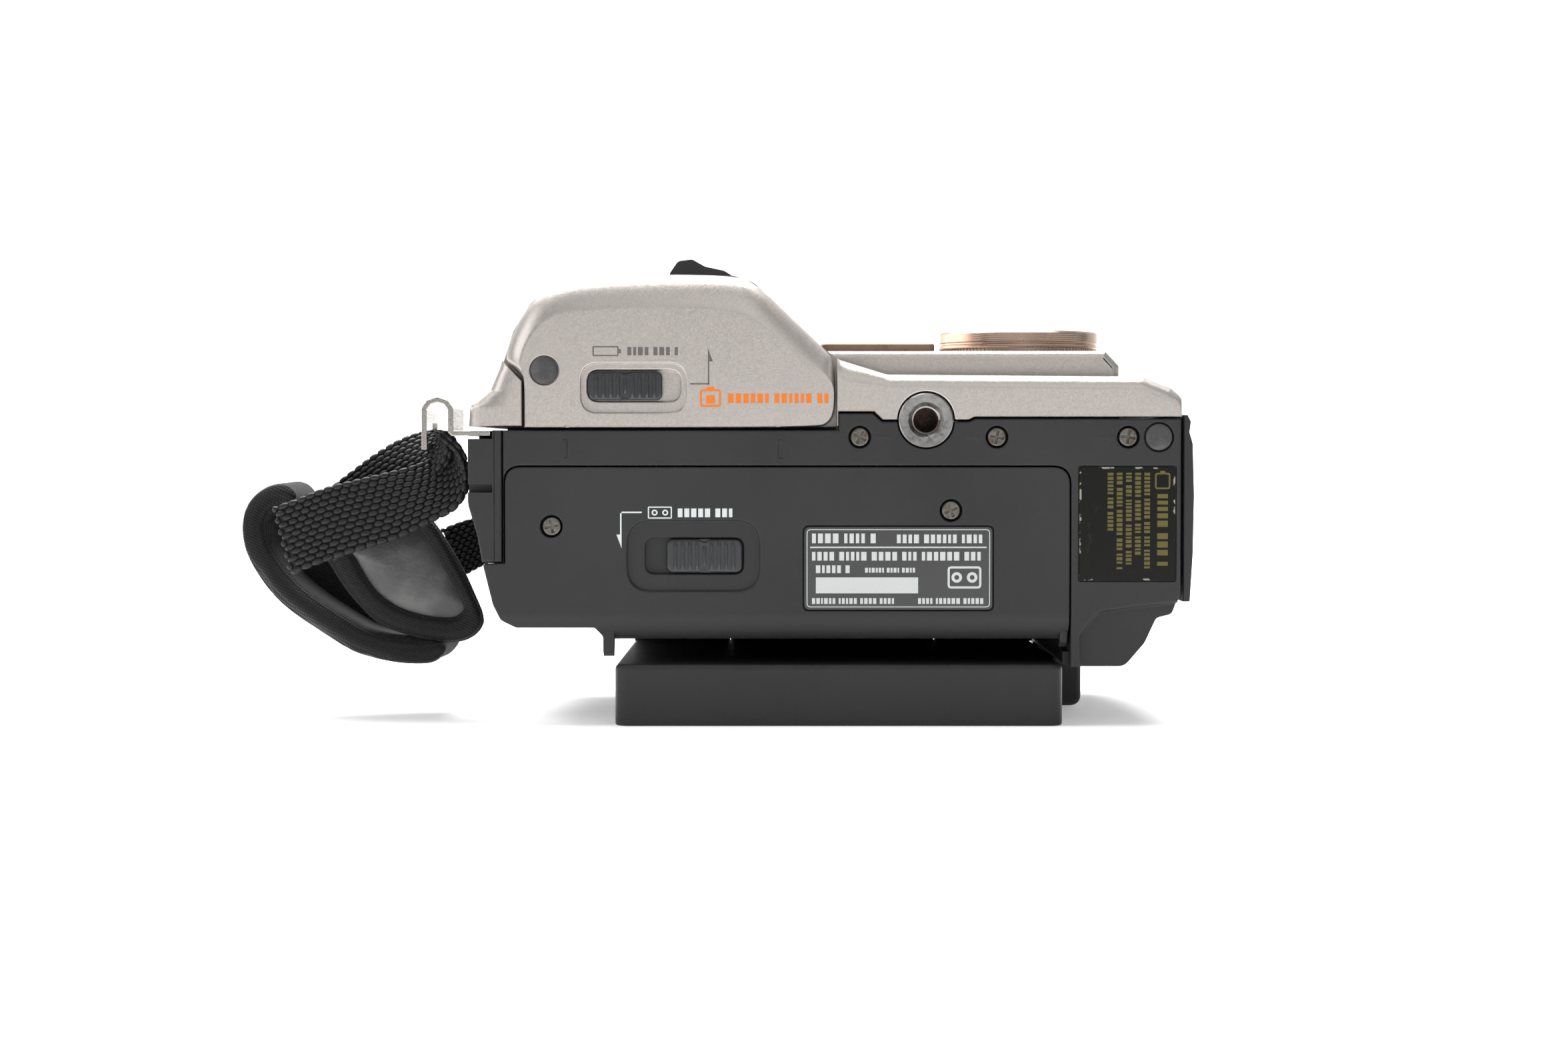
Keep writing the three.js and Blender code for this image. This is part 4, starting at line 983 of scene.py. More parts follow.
def knob_ribs(name, x0, x1, z0, z1, finish, skip=1.3):
    """Upright ribs along a knob's face, spaced evenly on either side of its finger notch."""
    pitch = bpy.context.scene.camcorder_sizes.rib_pitch / MM
    rib = slab("rib", rectangle(-0.34, 0.34, -0.5, 0.5, 0.12, 3), -0.42, 0.3, start=0.16, steps=2)
    middle, heart = (x0 + x1) / 2, (z0 + z1) / 2
    spots = []
    count = int((x1 - x0 - 1.4) / pitch)
    for k in range(count):
        x = middle + (k - (count - 1) / 2) * pitch
        tall = z1 - z0 - (2.8 if abs(x - middle) < skip else 1.1)
        spots.append(((x, NEAR + 0.38, heart), (0, 0, 0), (1, 1, tall)))
    return copies(name, rib, spots, finish)


def hook_arrow(name, corners, wide, low, high, tip):
    """A flat printed arrow: a bent line that ends in half an arrow head."""
    half = wide / 2
    pieces = []
    for (u0, v0), (u1, v1) in zip(corners, corners[1:]):
        u_low, u_high = sorted((u0, u1))
        v_low, v_high = sorted((v0, v1))
        bar = rectangle(u_low - half, u_high + half, v_low - half, v_high + half)
        pieces.append(ribbon("line", bar, low, high))
    pieces.append(ribbon("tip", vectors(tip), low - 0.002, high))
    return join(name, pieces)


def turned(name, axis, u, v, profile, sides=96):
    """A closed profile of (radius, height) pairs turned round an axis; its ends may lie on the axis."""
    work = bmesh.new()
    rows = []
    for radius, at in profile:
        if radius:
            rows.append([work.verts.new(PLACE[axis](p.x, p.y, at)) for p in circle(u, v, radius, sides)])
        else:
            rows.append([work.verts.new(PLACE[axis](u, v, at))] * sides)
    for low, high in zip(rows, rows[1:] + rows[:1]):
        for i in range(sides):
            j = (i + 1) % sides
            corners = list(dict.fromkeys((low[i], low[j], high[j], high[i])))
            if len(corners) > 2:
                work.faces.new(corners)
    return from_bmesh(name, work)


def shaded(piece, angle=35.0):
    """Shades a piece smooth, apart from its sharp edges."""
    piece.data.shade_smooth()
    piece.data.set_sharp_from_angle(angle=math.radians(angle))
    if angle > 40:
        return piece
    weights = piece.modifiers.new("weights", "WEIGHTED_NORMAL")
    weights.keep_sharp = True
    return baked(piece)


def dress(make, *nodes):
    """Gives CAD nodes that keep their shape a better finish."""
    for node in nodes:
        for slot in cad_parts[node].material_slots:
            slot.material = material(make)


def place_piece(piece, body, slot, make, *nodes):
    """Hands a finished hard piece over, with its flat faces shaded flat."""
    return settle(shaded(piece), body, slot, material(make), *nodes)


def place_soft(piece, slot, make, *nodes):
    """Hands a piece of the strap over, which keeps the shading that it has."""
    return settle(piece, "camera_body", slot, material(make), *nodes)


def letter_bars(x0, x1, z0, z1, surface, seed, rise=PRINT_RISE):
    """A row of small plain bars with word gaps, which stands for a line of print."""
    draw = random.Random(seed)
    tall = z1 - z0
    bars = []
    x, left_in_word = x0, draw.randint(3, 6)
    while x < x1 - 0.25 * tall:
        wide = min(draw.uniform(0.32, 0.62) * tall, x1 - x)
        bars.append(mark(x, x + wide, z0, z1, surface, rise=rise))
        left_in_word -= 1
        x += wide + (0.22 if left_in_word else 0.6) * tall
        if not left_in_word:
            left_in_word = draw.randint(3, 6)
    return bars


def mark(x0, x1, z0, z1, surface, radius=0.0, rise=PRINT_RISE):
    """A printed rectangle on a surface that faces the underside."""
    return ribbon("mark", rectangle(x0, x1, z0, z1, radius), surface - rise, surface + PRINT_ROOT)


def reel(x, z, inner, outer, surface):
    """A printed ring, as in the sign for a cassette."""
    low, high = surface - PRINT_RISE, surface + PRINT_ROOT
    return turned("reel", "y", x, z, [(inner, low), (outer, low), (outer, high), (inner, high)], 24)


def frame_line(x0, x1, z0, z1, radius, wide, surface, rise=PRINT_RISE):
    """A thin printed line round a rectangle."""
    outer = rectangle(x0, x1, z0, z1, radius, 6)
    inner = inset(outer, wide)
    work = bmesh.new()
    rows = []
    for at in (surface - rise, surface + PRINT_ROOT):
        for points in (outer, inner):
            rows.append([work.verts.new(PLACE["y"](p.x, p.y, at)) for p in points])
    low_out, low_in, high_out, high_in = rows
    for a, b in ((low_out, low_in), (high_out, high_in), (low_out, high_out), (low_in, high_in)):
        for i in range(len(a)):
            j = (i + 1) % len(a)
            work.faces.new((a[i], a[j], b[j], b[i]))
    return from_bmesh("line", work)


# ---------------------------------------------------------------- pieces


class CAMCORDER_OT_screen(bpy.types.Operator):
    """Makes the tilting screen panel that the camcorder lies on"""

    bl_idname = "camcorder.screen"
    bl_label = "Screen panel"

    def execute(self, context):
        half, far, thick = PANEL["half"], PANEL["far"], PANEL["thick"]
        case = slab("screen_case", rectangle(-half, half, NEAR, far, 3.4, 12), 0, thick, "z", 0.5, 1.1, 6)
        hollow = rectangle(-half + 2.4, half - 2.4, NEAR + 2.4, far - 2.4, 1.6)
        case = carve(case, slab("hollow", hollow, -1, thick - 2, "z"))
        for side in (-1, 1):
            x0, x1 = sorted((side * TILT["inner"], side * TILT["outer"]))
            barrel = rod("barrel", "x", TILT["y"], TILT["z"], x0, x1, TILT["knuckle"], 40, 0.3, 0.3)
            web = box("web", x0, x1, far - 1, TILT["y"], 6.8, 10)
            case = weld(case, barrel, web)
            case = carve(case, rod("bore", "x", TILT["y"], TILT["z"], x0 - 1, x1 + 1, TILT["bore"], 32))
        place_piece(case, "lcd_panel", "dark_plastic", dark_plastic, "lcd_case")

        bezel = slab("screen_bezel", inset(hollow, 0.3), 0, 4.6, "z", 0.3)
        window = rectangle(-36.5, 36.5, -33.5, 21.5, 2)
        bezel = carve(bezel, pocket("window", window, 0, 5.6, 0.5, 0, "z"))
        place_piece(bezel, "lcd_panel", "dark_plastic", dark_smooth, "lcd_bezel")
        dress(screen_glass, "lcd_window")
        dress(sensor_face, "lcd_display")
        dress(diffuser_white, "lcd_backlight")
        dress(circuit_board, "lcd_drive_board")
        dress(worn_steel, "lcd_hinge_pin")
        dress(dark_smooth, "lcd_hinge_bracket")
        return {"FINISHED"}


def outline_arrow(x, z, way):
    """A small raised arrow, as moulded beside a screw."""
    shape = [(0, 0), (1.2, 0.95), (1.2, 0.4), (3.1, 0.4), (3.1, -0.4), (1.2, -0.4), (1.2, -0.95)]
    points = [Vector((x + way * u, z + v)) for u, v in shape]
    return loft("arrow", [(inset(points, 0.1), NEAR - 0.05), (points, NEAR), (points, NEAR + 0.4)])


class CAMCORDER_OT_dark_shells(bpy.types.Operator):
    """Makes the dark body shell, its top cover, the hand-side cover and the block beside the screen"""

    bl_idname = "camcorder.dark_shells"
    bl_label = "Dark shells"

    def execute(self, context):
        shell = slab("dark_shell", outline(REAR, 8), NEAR, FAR - 3.5, start=0.45)
        inside = outline([
            (-67, 59), (-67, 36, 2), (-66, 25, 4), (-63, 23.4), (-47, 23.4, 2), (-44, 21, 2), (48.6, 21),
            (50, 15, 1), (57.6, 15, 3), (61.4, 19, 3), (64, 25, 2), (67.8, 27, 2), (67.8, 60.4)], 4)
        mouth = outline([
            (-80, 0), (48.1, 0), (48.1, 54.1, 3.9), (-69.5, 54.1, 3.7), (-69.5, 34), (-80, 34)], 12)
        step = outline([(50.1, 6), (50.1, 19, 1), (54, 23.6, 2), (62, 24.8, 2), (84, 27), (84, 6)], 8)
        cutters = [
            slab("inside", inside, NEAR + 3.2, FAR),
            pocket("mouth", mouth, NEAR, LID["hinge_y"] - 0.4, 0.3, 0),
            rod("curl", "x", LID["hinge_y"], LID["hinge_z"], -80, 48.1, 5.8, 64),
            rod("ear", "x", LID["hinge_y"], LID["hinge_z"], -49.6, -46.4, 10.5, 64),
            rod("ear", "x", LID["hinge_y"], LID["hinge_z"], 45.5, 48.1, 8.2, 64),
            rod("barrel", "z", LENS["x"], LENS["y"], 58, 66, LENS["barrel"] + 0.6, 64),
            pocket("boss", circle(TRIPOD["x"], TRIPOD["z"], 5.95, 64), NEAR, NEAR + 14, 0.25, 0),
            pocket("foot", circle(*RIGHT_FOOT, 3.05, 48), NEAR, NEAR + 1.2, 0.25),
            pocket("sticker", rectangle(49.5, 69.9, 30, 54.1, 0.6), NEAR, NEAR + 0.6, 0.15, 0.1),
            pocket("step", step, NEAR, NEAR + 1.8, 0.7, 0.5),
            box("ribbon", -8, 8, 22, 30, 14, 24),
        ]
        cutters += [screw_recess(x, z) for x, z in FRAME_SCREWS]
        cutters += [rod("socket", "x", LENS["y"], z, 66, 72, 3.9, 40) for z in SOCKETS]
        cutters += [box("mark", x - 0.12, x + 0.12, NEAR - 1, NEAR + 0.2, 55.6, 59.6) for x in (-56.3, -12.6)]
        cutters += [box("mark", x, x + 0.9, NEAR - 1, NEAR + 0.2, z, z + 0.24)
                    for x in (-57.1, -12.6) for z in (55.6, 59.36)]
        shell = carve(shell, *cutters)
        skirts = [box("skirt", x0, x1, 33.1, 35, 12.3, 19.4) for x0, x1 in ((-46.6, -24.1), (24.1, 47.5))]
        skirts.append(box("skirt", 47, 53, 30, 35, 9.5, 13.5))
        shell = weld(shell, *skirts, box("lip", -69.3, -0.4, -36.3, -30, 60, 62.05))
        arrows = [outline_arrow(7.7, 60, 1), outline_arrow(29.7, 60, -1), outline_arrow(57.1, 60, -1)]
        shell = join("dark_shell", [shell, *arrows])
        place_piece(shell, "camera_body", "dark_plastic", dark_plastic, "rear_shell")

        cover = slab("upper_cover", outline(REAR, 8), FAR - 3.2, FAR, end=0.9)
        cutters = [pocket("dial", circle(DIAL["x"], DIAL["z"], DIAL["radius"] + 0.3), FAR, FAR - 1.6, 0.4),
                   rod("pivot", "y", DIAL["x"], DIAL["z"], FAR - 4, FAR, 2.3, 32)]
        cutters += [pocket("button", circle(x, z, 3.5), FAR, FAR - 4, 0.4) for x, z in TOP_BUTTONS]
        cover = carve(cover, *cutters)
        place_piece(cover, "camera_body", "dark_plastic", dark_plastic, "top_cover")

        side = outline([
            (-69.9, 61.4), (-76.9, 61.4), (-76.9, 46, 6), (-75, 39.6, 6), (-74, 34.1), (-69.9, 34.1)], 8)
        side = slab("hand_side_cover", side, NEAR, FAR - 4, start=0.45, end=0.45)
        side = carve(
            side,
            box("slot", -78, -71.8, NEAR - 1, -22.2, 59.6, 62),
            box("slot", -78, -71.8, NEAR - 1, NEAR + 2.4, 48.5, 50.2),
            box("slot", -78, -72.6, 1.2, 4.8, 34, 44),
            box("seam", -71.52, -71.3, NEAR - 1, NEAR + 0.35, 34, 61.4),
            *[box("vent", -78, -76.2, -8 + k * 3, -6.6 + k * 3, 48, 57) for k in range(8)])
        side = join("hand_side_cover", [side, box("foot", -73.9, -69.9, -37, -33, 33.6, 34.3)])
        place_piece(side, "camera_body", "dark_plastic", dark_plastic, "grip_side_cover")

        block = slab("side_block", rectangle(47.2, 54.6, 0.5, 12, 2.6), -4, 29, start=1.2, end=1.2)
        place_piece(block, "camera_body", "dark_plastic", dark_plastic, "rear_side_block")
        return {"FINISHED"}


class CAMCORDER_OT_silver_shell(bpy.types.Operator):
    """Makes the silver front shell with its battery bay and lens housing"""

    bl_idname = "camcorder.silver_shell"
    bl_label = "Silver shell"

    def execute(self, context):
        shell = bulged("silver_shell", outline(FRONT_FLAT, 8), outline(FRONT, 8), NEAR, FAR, 3.0)
        left, right, top = HOUSING["left"], HOUSING["right"], HOUSING["top"]
        near, far = HOUSING["near"], HOUSING["far"]
        front = outline([(left, 66), (right, 66), (right, 75, 0.8), (right - 2.9, top, 0.8), (left, top)])
        shell = weld(shell, slab("housing", front, near, far, start=1.6, end=1.6))
        seat = NEAR + 6.3
        x, y, barrel = LENS["x"], LENS["y"], LENS["barrel"]
        shell = carve(
            shell,
            pocket("seat", vectors(LID_SEAT), NEAR, seat, 0.25, 0),
            box("bay", -61, -21, NEAR, 34.4, 65.6, 87.4),
            rod("sweep", "x", LIDPIN["y"], LIDPIN["z"], -66, -12, LIDPIN["sweep"], 40),
            pocket("inlay", rectangle(-4, 20.6, near + 2, far - 2, 1.5), top, top - 0.9, 0.2, 0.1, "z"),
            box("hollow", 3, 67, NEAR + 3.4, FAR - 3.4, 60, 69.6),
            box("hollow", 3, 56, near + 2.6, far - 2.6, 69, 75.4),
            rod("bore", "z", x, y, 70, 90, barrel + 0.6, 64),
            pocket("boss", circle(TRIPOD["x"], TRIPOD["z"], 5.95, 64), NEAR, NEAR + 14, 0.3, 0),
            pocket("well", circle(ZOOM["x"], ZOOM["z"], ZOOM["inner"] - 0.5), FAR, FAR - 2.6, 0.4))
        place_piece(shell, "camera_body", "silver_plastic", silver_lacquer, "front_shell")
        return {"FINISHED"}


class CAMCORDER_OT_battery_door(bpy.types.Operator):
    """Makes the battery door, its sliding latch, its printed marks and the battery behind it"""

    bl_idname = "camcorder.battery_door"
    bl_label = "Battery door"

    def execute(self, context):
        flat = chamfered(vectors(LID_FLAT), (0,), 3)
        edge = chamfered(vectors(LID_EDGE), (0,), 3)
        rings = []
        for k in range(11):
            a = math.pi / 2 * k / 10
            points = [p.lerp(q, math.sin(a)) for p, q in zip(flat, edge)]
            rings.append((points, NEAR + 5.2 * (0.5 * k / 10 + 0.5 * (1 - math.cos(a)))))
        rings.append((edge, NEAR + 6))
        door = loft("battery_door", rings)
        door = carve(
            door,
            box("hollow", -63, -20, NEAR + 3.9, NEAR + 8, 64.2, 86),
            box("hollow", -19, -3, NEAR + 3, NEAR + 8, 64.2, 76),
            rod("pin", "x", LIDPIN["y"], LIDPIN["z"], -60, -18, 1.2, 32),
            pocket("recess", rectangle(-53.5, -31.6, 64.9, 75.3, 3.7), NEAR, NEAR + 0.9, 0.25, 0.2),
            pocket("recess", rectangle(-52.2, -32.8, 67.3, 73.9, 2.5), NEAR + 0.9, NEAR + 2, 0.3, 0.2),
            box("slot", -48.6, -40, NEAR, NEAR + 8, 69.7, 71.5),
            pocket("foot", circle(*LEFT_FOOT, 3.05, 48), NEAR, NEAR + 1.2, 0.2),
            *[box("notch", x - 0.5, x + 0.5, NEAR - 1, NEAR + 1, 61, 62.5) for x in (-56.3, -12.6)])
        place_piece(door, "battery_lid", "silver_plastic", silver_lacquer, "battery_lid")

        knob = knob_body("battery_knob", *BATTERY_KNOB, (-48.3, -43.8))
        place_piece(knob, "battery_latch", "knob_plastic", knob_plastic, "battery_latch")
        ribs = knob_ribs("battery_knob_ribs", *BATTERY_KNOB, material(knob_plastic))
        place_piece(ribs, "battery_latch", "knob_plastic", knob_plastic)

        low, high = NEAR - PRINT_RISE, NEAR + PRINT_ROOT
        arrow = hook_arrow("arrow", [(-30.7, 71), (-27, 71), (-27, 76.4)], 0.3, low, high,
                           [(-27.15, 78.4), (-27.15, 75.6), (-26.1, 75.6)])
        sign = [frame_line(-51, -45.6, 76.7, 78.8, 0.3, 0.28, NEAR),
                mark(-45.6, -45.1, 77.3, 78.2, NEAR)]
        words = letter_bars(-43.8, -33.2, 76.9, 78.6, NEAR, 3)
        print_grey = join("battery_door_print", [arrow, *sign, *words])
        place_piece(print_grey, "battery_lid", "label", ink_dark)

        battery = [frame_line(-28.8, -24.4, 66.2, 69.9, 0.8, 0.45, NEAR),
                   mark(-27.4, -25.8, 69.9, 70.4, NEAR),
                   mark(-27.5, -25.7, 66.9, 68.6, NEAR, 0.2),
                   *letter_bars(-23, -2.2, 67, 69, NEAR, 11)]
        place_piece(join("battery_mark", battery), "battery_lid", "label", ink_orange)
        pin = rod("battery_door_pin", "x", LIDPIN["y"], LIDPIN["z"], -56.4, -18.4, 0.8, 24)
        place_piece(pin, "camera_body", "steel", worn_steel, "battery_lid_pin")
        dress(battery_wrap, "battery_pack")
        dress(contact_brass, "battery_terminal")
        return {"FINISHED"}


def lid_section(thick):
    """The cassette door's section: a flat face that curls round the hinge line."""
    y, z, curl = LID["hinge_y"], LID["hinge_z"], LID["curl"]
    points = [(NEAR + thick, LID["top"] + 1), (NEAR, LID["top"] + 1)]
    turns = [math.pi + math.pi / 2 * k / 24 for k in range(25)]
    points += [(y + curl * math.cos(a), z + curl * math.sin(a)) for a in turns]
    inside = curl - thick
    points += [(y + inside * math.cos(a), z + inside * math.sin(a)) for a in reversed(turns)]
    return vectors(points)


class CAMCORDER_OT_cassette_door(bpy.types.Operator):
    """Makes the cassette door, its eject latch, its type plate and its printed marks"""

    bl_idname = "camcorder.cassette_door"
    bl_label = "Cassette door"

    def execute(self, context):
        door = slab("cassette_door", outline(CASSETTE, 8), NEAR, LID["hinge_y"] - 0.7, start=0.35)
        section = slab("section", lid_section(2.4), -80, 60, "x")
        door = boolean(door, [section], "INTERSECT")
        for x0, x1, low in ((-49, -46.8, 14), (45.95, 47.4, 16)):
            ear = outline([(NEAR + 1.4, low + 1.4, 1), (NEAR + 4.4, low, 1), (LID["hinge_y"] + 1.6, 20.4, 1),
                           (LID["hinge_y"] + 2.2, 24.6, 2), (NEAR + 1.6, 27)], 6)
            door = weld(door, slab("ear", ear, x0, x1, "x"))
        bosses = [box("boss", -42.6, -17.6, NEAR + 2, NEAR + 3.6, 29.4, 41.3),
                  box("boss", -8.6, 33.2, NEAR + 1.8, NEAR + 3, 22.9, 42.8)]
        bosses += [rod("boss", "y", x, z, NEAR + 1, NEAR + 4, 3.4, 40) for x, z in LID_SCREWS]
        door = weld(door, *bosses)
        cutters = [
            pocket("recess", rectangle(-43.9, -16.4, 28, 42.7, 5.2), NEAR, NEAR + 0.8, 0.4, 0.4),
            pocket("recess", rectangle(-40.2, -19.8, 31.6, 39.1, 2), NEAR + 0.8, NEAR + 2, 0.35, 0.2),
            box("slot", -31.5, -22.6, NEAR, NEAR + 8, 34.4, 36.2),
            pocket("plate", rectangle(-7.5, 32.1, 23.9, 41.7, 1.4), NEAR, NEAR + 1, 0.25, 0.1)]
        cutters += [screw_recess(x, z) for x, z in LID_SCREWS]
        door = carve(door, *cutters)
        place_piece(door, "cassette_lid", "dark_plastic", dark_plastic, "cassette_lid")

        knob = knob_body("eject_knob", *EJECT_KNOB, (-27, -22.9))
        place_piece(knob, "eject_latch", "knob_plastic", knob_plastic, "eject_latch")
        ribs = knob_ribs("eject_knob_ribs", *EJECT_KNOB, material(knob_plastic))
        place_piece(ribs, "eject_latch", "knob_plastic", knob_plastic)

        low, high = NEAR - PRINT_RISE, NEAR + PRINT_ROOT
        arrow = hook_arrow("arrow", [(-41, 44.4), (-45.2, 44.4), (-45.2, 39)], 0.3, low, high,
                           [(-45.05, 37), (-45.05, 39.8), (-46.1, 39.8)])
        tape = [frame_line(-39.6, -34.6, 43.1, 45.6, 0.3, 0.25, NEAR)]
        tape += [reel(x, 44.35, 0.32, 0.62, NEAR) for x in (-38.2, -36)]
        marks = join("cassette_door_print", [arrow, *tape, *letter_bars(-33.4, -21, 43.4, 45.2, NEAR, 5)])
        place_piece(marks, "cassette_lid", "label", ink_light)

        surface = NEAR + 0.2
        plate = slab("type_plate", rectangle(-7.2, 31.8, 24.2, 41.4, 1.1), surface, NEAR + 0.9, start=0.12)
        place_piece(plate, "cassette_lid", "label", plate_foil, "name_plate")
        lines = [frame_line(-6.7, 31.3, 24.7, 40.9, 0.9, 0.16, surface),
                 mark(-6, 30.6, 37, 37.28, surface),
                 mark(-4.8, 16.4, 27.6, 30.9, surface),
                 frame_line(22.5, 29.5, 28.6, 33.2, 0.8, 0.45, surface)]
        lines += [reel(x, 30.9, 0.5, 1.1, surface) for x in (24.4, 27.6)]
        rows = [(-5.6, 7.6, 38, 40), (12, 30, 38, 39.8), (-5.6, 30.4, 34.4, 36.2), (-4.8, 2.6, 31.8, 33.4),
                (5.4, 16, 31.9, 32.9), (-5.6, 11.4, 25.4, 26.6), (16.4, 30.4, 25.4, 26.6)]
        for seed, (x0, x1, z0, z1) in enumerate(rows):
            lines += letter_bars(x0, x1, z0, z1, surface, seed + 20)
        place_piece(join("type_plate_print", lines), "cassette_lid", "label", ink_white)
        dress(zinc_sheet, "cassette_carriage", "deck_plate", "loading_motor", "capstan_motor")
        dress(worn_steel, "drum_base", "capstan_flywheel")
        dress(polished_drum, "head_drum")
        dress(circuit_board, "main_board")
        return {"FINISHED"}


class CAMCORDER_OT_fasteners(bpy.types.Operator):
    """Makes the cross-head screws, the tripod insert with its thread, and the rubber feet"""

    bl_idname = "camcorder.fasteners"
    bl_label = "Screws, insert and feet"

    def execute(self, context):
        size = context.scene.camcorder_sizes.screw_head / (4.2 * MM)
        frame_nodes = ["frame_screw_1", "frame_screw_2", "frame_screw_3"]
        sets = (("frame_screws", FRAME_SCREWS, "camera_body", frame_nodes),
                ("lid_screws", LID_SCREWS, "cassette_lid", ["lid_screw_1", "lid_screw_2"]))
        for name, places, body, nodes in sets:
            draw = random.Random(name)
            spots = [((x, NEAR, z), (0, draw.uniform(0, math.pi), 0), (1, 1, 1)) for x, z in places]
            screws = copies(name, screw_shape(), spots, material(screw_steel), size)
            place_piece(screws, body, "steel", screw_steel, *nodes)

        x, z, ring, hole = TRIPOD["x"], TRIPOD["z"], TRIPOD["ring"], TRIPOD["hole"]
        bottom = NEAR + TRIPOD["deep"]
        profile = [(0, bottom - 2.6), (hole, bottom - 2.6), (hole, NEAR + 0.9), (hole + 0.8, NEAR - 0.02),
                   (ring - 0.25, NEAR - 0.1), (ring, NEAR + 0.12), (ring, bottom), (0, bottom)]
        insert = turned("tripod_insert", "y", x, z, profile, 96)
        insert = grown(insert, thread_tree, material(insert_steel), turns=7.0, radius=hole * MM,
                       centre=(x * MM, (NEAR + 0.9) * MM, z * MM), turn=(-math.pi / 2, 0, 0))
        place_piece(insert, "camera_body", "steel", insert_steel, "tripod_socket")

        for name, (u, v), body, node in (("left_foot", LEFT_FOOT, "battery_lid", "rubber_foot_left"),
                                         ("right_foot", RIGHT_FOOT, "camera_body", "rubber_foot_right")):
            profile = [(0, NEAR - 0.34), (1.9, NEAR - 0.36), (2.35, NEAR - 0.3), (2.65, NEAR - 0.1),
                       (2.75, NEAR + 0.2), (2.75, NEAR + 0.9), (0, NEAR + 0.9)]
            place_piece(turned(name, "y", u, v, profile, 64), body, "rubber", foot_rubber, node)
        return {"FINISHED"}


class CAMCORDER_OT_lens(bpy.types.Operator):
    """Makes the lens ring, barrel and glass, and the brown inlay with the microphone grille"""

    bl_idname = "camcorder.lens"
    bl_label = "Lens and inlay"

    def execute(self, context):
        x, y, ring, barrel, top = (LENS[key] for key in ("x", "y", "ring", "barrel", "top"))
        low = HOUSING["top"] + 0.3
        profile = [(barrel + 0.3, low), (ring - 0.5, low), (ring - 0.3, low + 0.2), (ring - 0.3, 79.2),
                   (ring, 79.5), (ring, 80), (ring - 0.35, 80.15), (ring - 0.35, 80.5), (ring, 80.65),
                   (ring, top - 0.45), (ring - 0.4, top), (ring - 1.6, top), (ring - 2.1, top - 0.5),
                   (barrel + 0.3, top - 1.6)]
        rim = turned("lens_rim", "z", x, y, profile, 160)
        count = context.scene.camcorder_sizes.ring_teeth
        rim = grown(rim, ridges_tree, material(turned_champagne), count=count, radius=(ring - 0.3) * MM,
                    ridge=(0.0003, 0.0004, 0.0007), centre=(x * MM, y * MM, 0.0788))
        place_piece(rim, "camera_body", "champagne_metal", turned_champagne, "lens_ring")

        bore, ridge = barrel - 2, barrel - 1.7
        tube = [(0, 30), (barrel, 30), (barrel, 79.6), (barrel - 0.4, 80), (barrel - 1.6, 80), (bore, 79.6)]
        for k in range(4):
            tube += [(bore, 79.2 - k), (ridge, 78.9 - k), (ridge, 78.5 - k), (bore, 78.3 - k)]
        tube += [(bore, 33), (4, 33), (4, 31.2), (0, 31.2)]
        tube = turned("lens_tube", "z", x, y, tube, 96)
        place_piece(tube, "camera_body", "black_plastic", black_moulding, "lens_barrel")

        rim_radius, sag = barrel - 2.3, 0.55
        turns = [sag * k / 12 for k in range(13)]
        dome = [(rim_radius * math.sin(a) / math.sin(sag), 57.8 + 20 * math.cos(a)) for a in turns]
        glass = turned("front_glass", "z", x, y, [*dome, (rim_radius, 72.9), (0, 72.9)], 96)
        place_piece(glass, "camera_body", "lens_glass", coated_glass, "lens_front_glass")
        dress(coated_glass, "lens_rear_glass")
        dress(sensor_face, "image_sensor")

        near, far, face = HOUSING["near"], HOUSING["far"], HOUSING["top"]
        plan = rectangle(-3.7, 20.3, near + 2.3, far - 2.3, 1.6)
        inlay = slab("inlay_panel", plan, face - 0.6, face + 1.6, "z", 0, 0.4, 5)
        inlay = carve(inlay, pocket("grille", rectangle(2, 14, 8, 20, 3), face + 1.6, face - 2, 0.3, 0, "z"))
        place_piece(inlay, "camera_body", "inlay_brown", inlay_brown, "front_inlay")
        grille = slab("grille", rectangle(2.3, 13.7, 8.3, 19.7, 2.8), face - 0.6, face + 1.2, "z", 0, 0.4)
        place_piece(grille, "camera_body", "black_plastic", black_moulding, "microphone_grille")
        hole = turned("hole", "z", 0, 0, [(0.22, 0), (0.42, 0), (0.42, 0.1), (0.34, 0.16), (0.26, 0.1)], 12)
        spots = [((3.5 + 0.85 * i + 0.42 * (j % 2), 9.6 + 0.74 * j, face + 1.16), (0, 0, 0), (1, 1, 1))
                 for j in range(13) for i in range(11)]
        perforations = copies("grille_perforations", hole, spots, material(black_moulding))
        place_piece(perforations, "camera_body", "black_plastic", black_moulding)
        return {"FINISHED"}


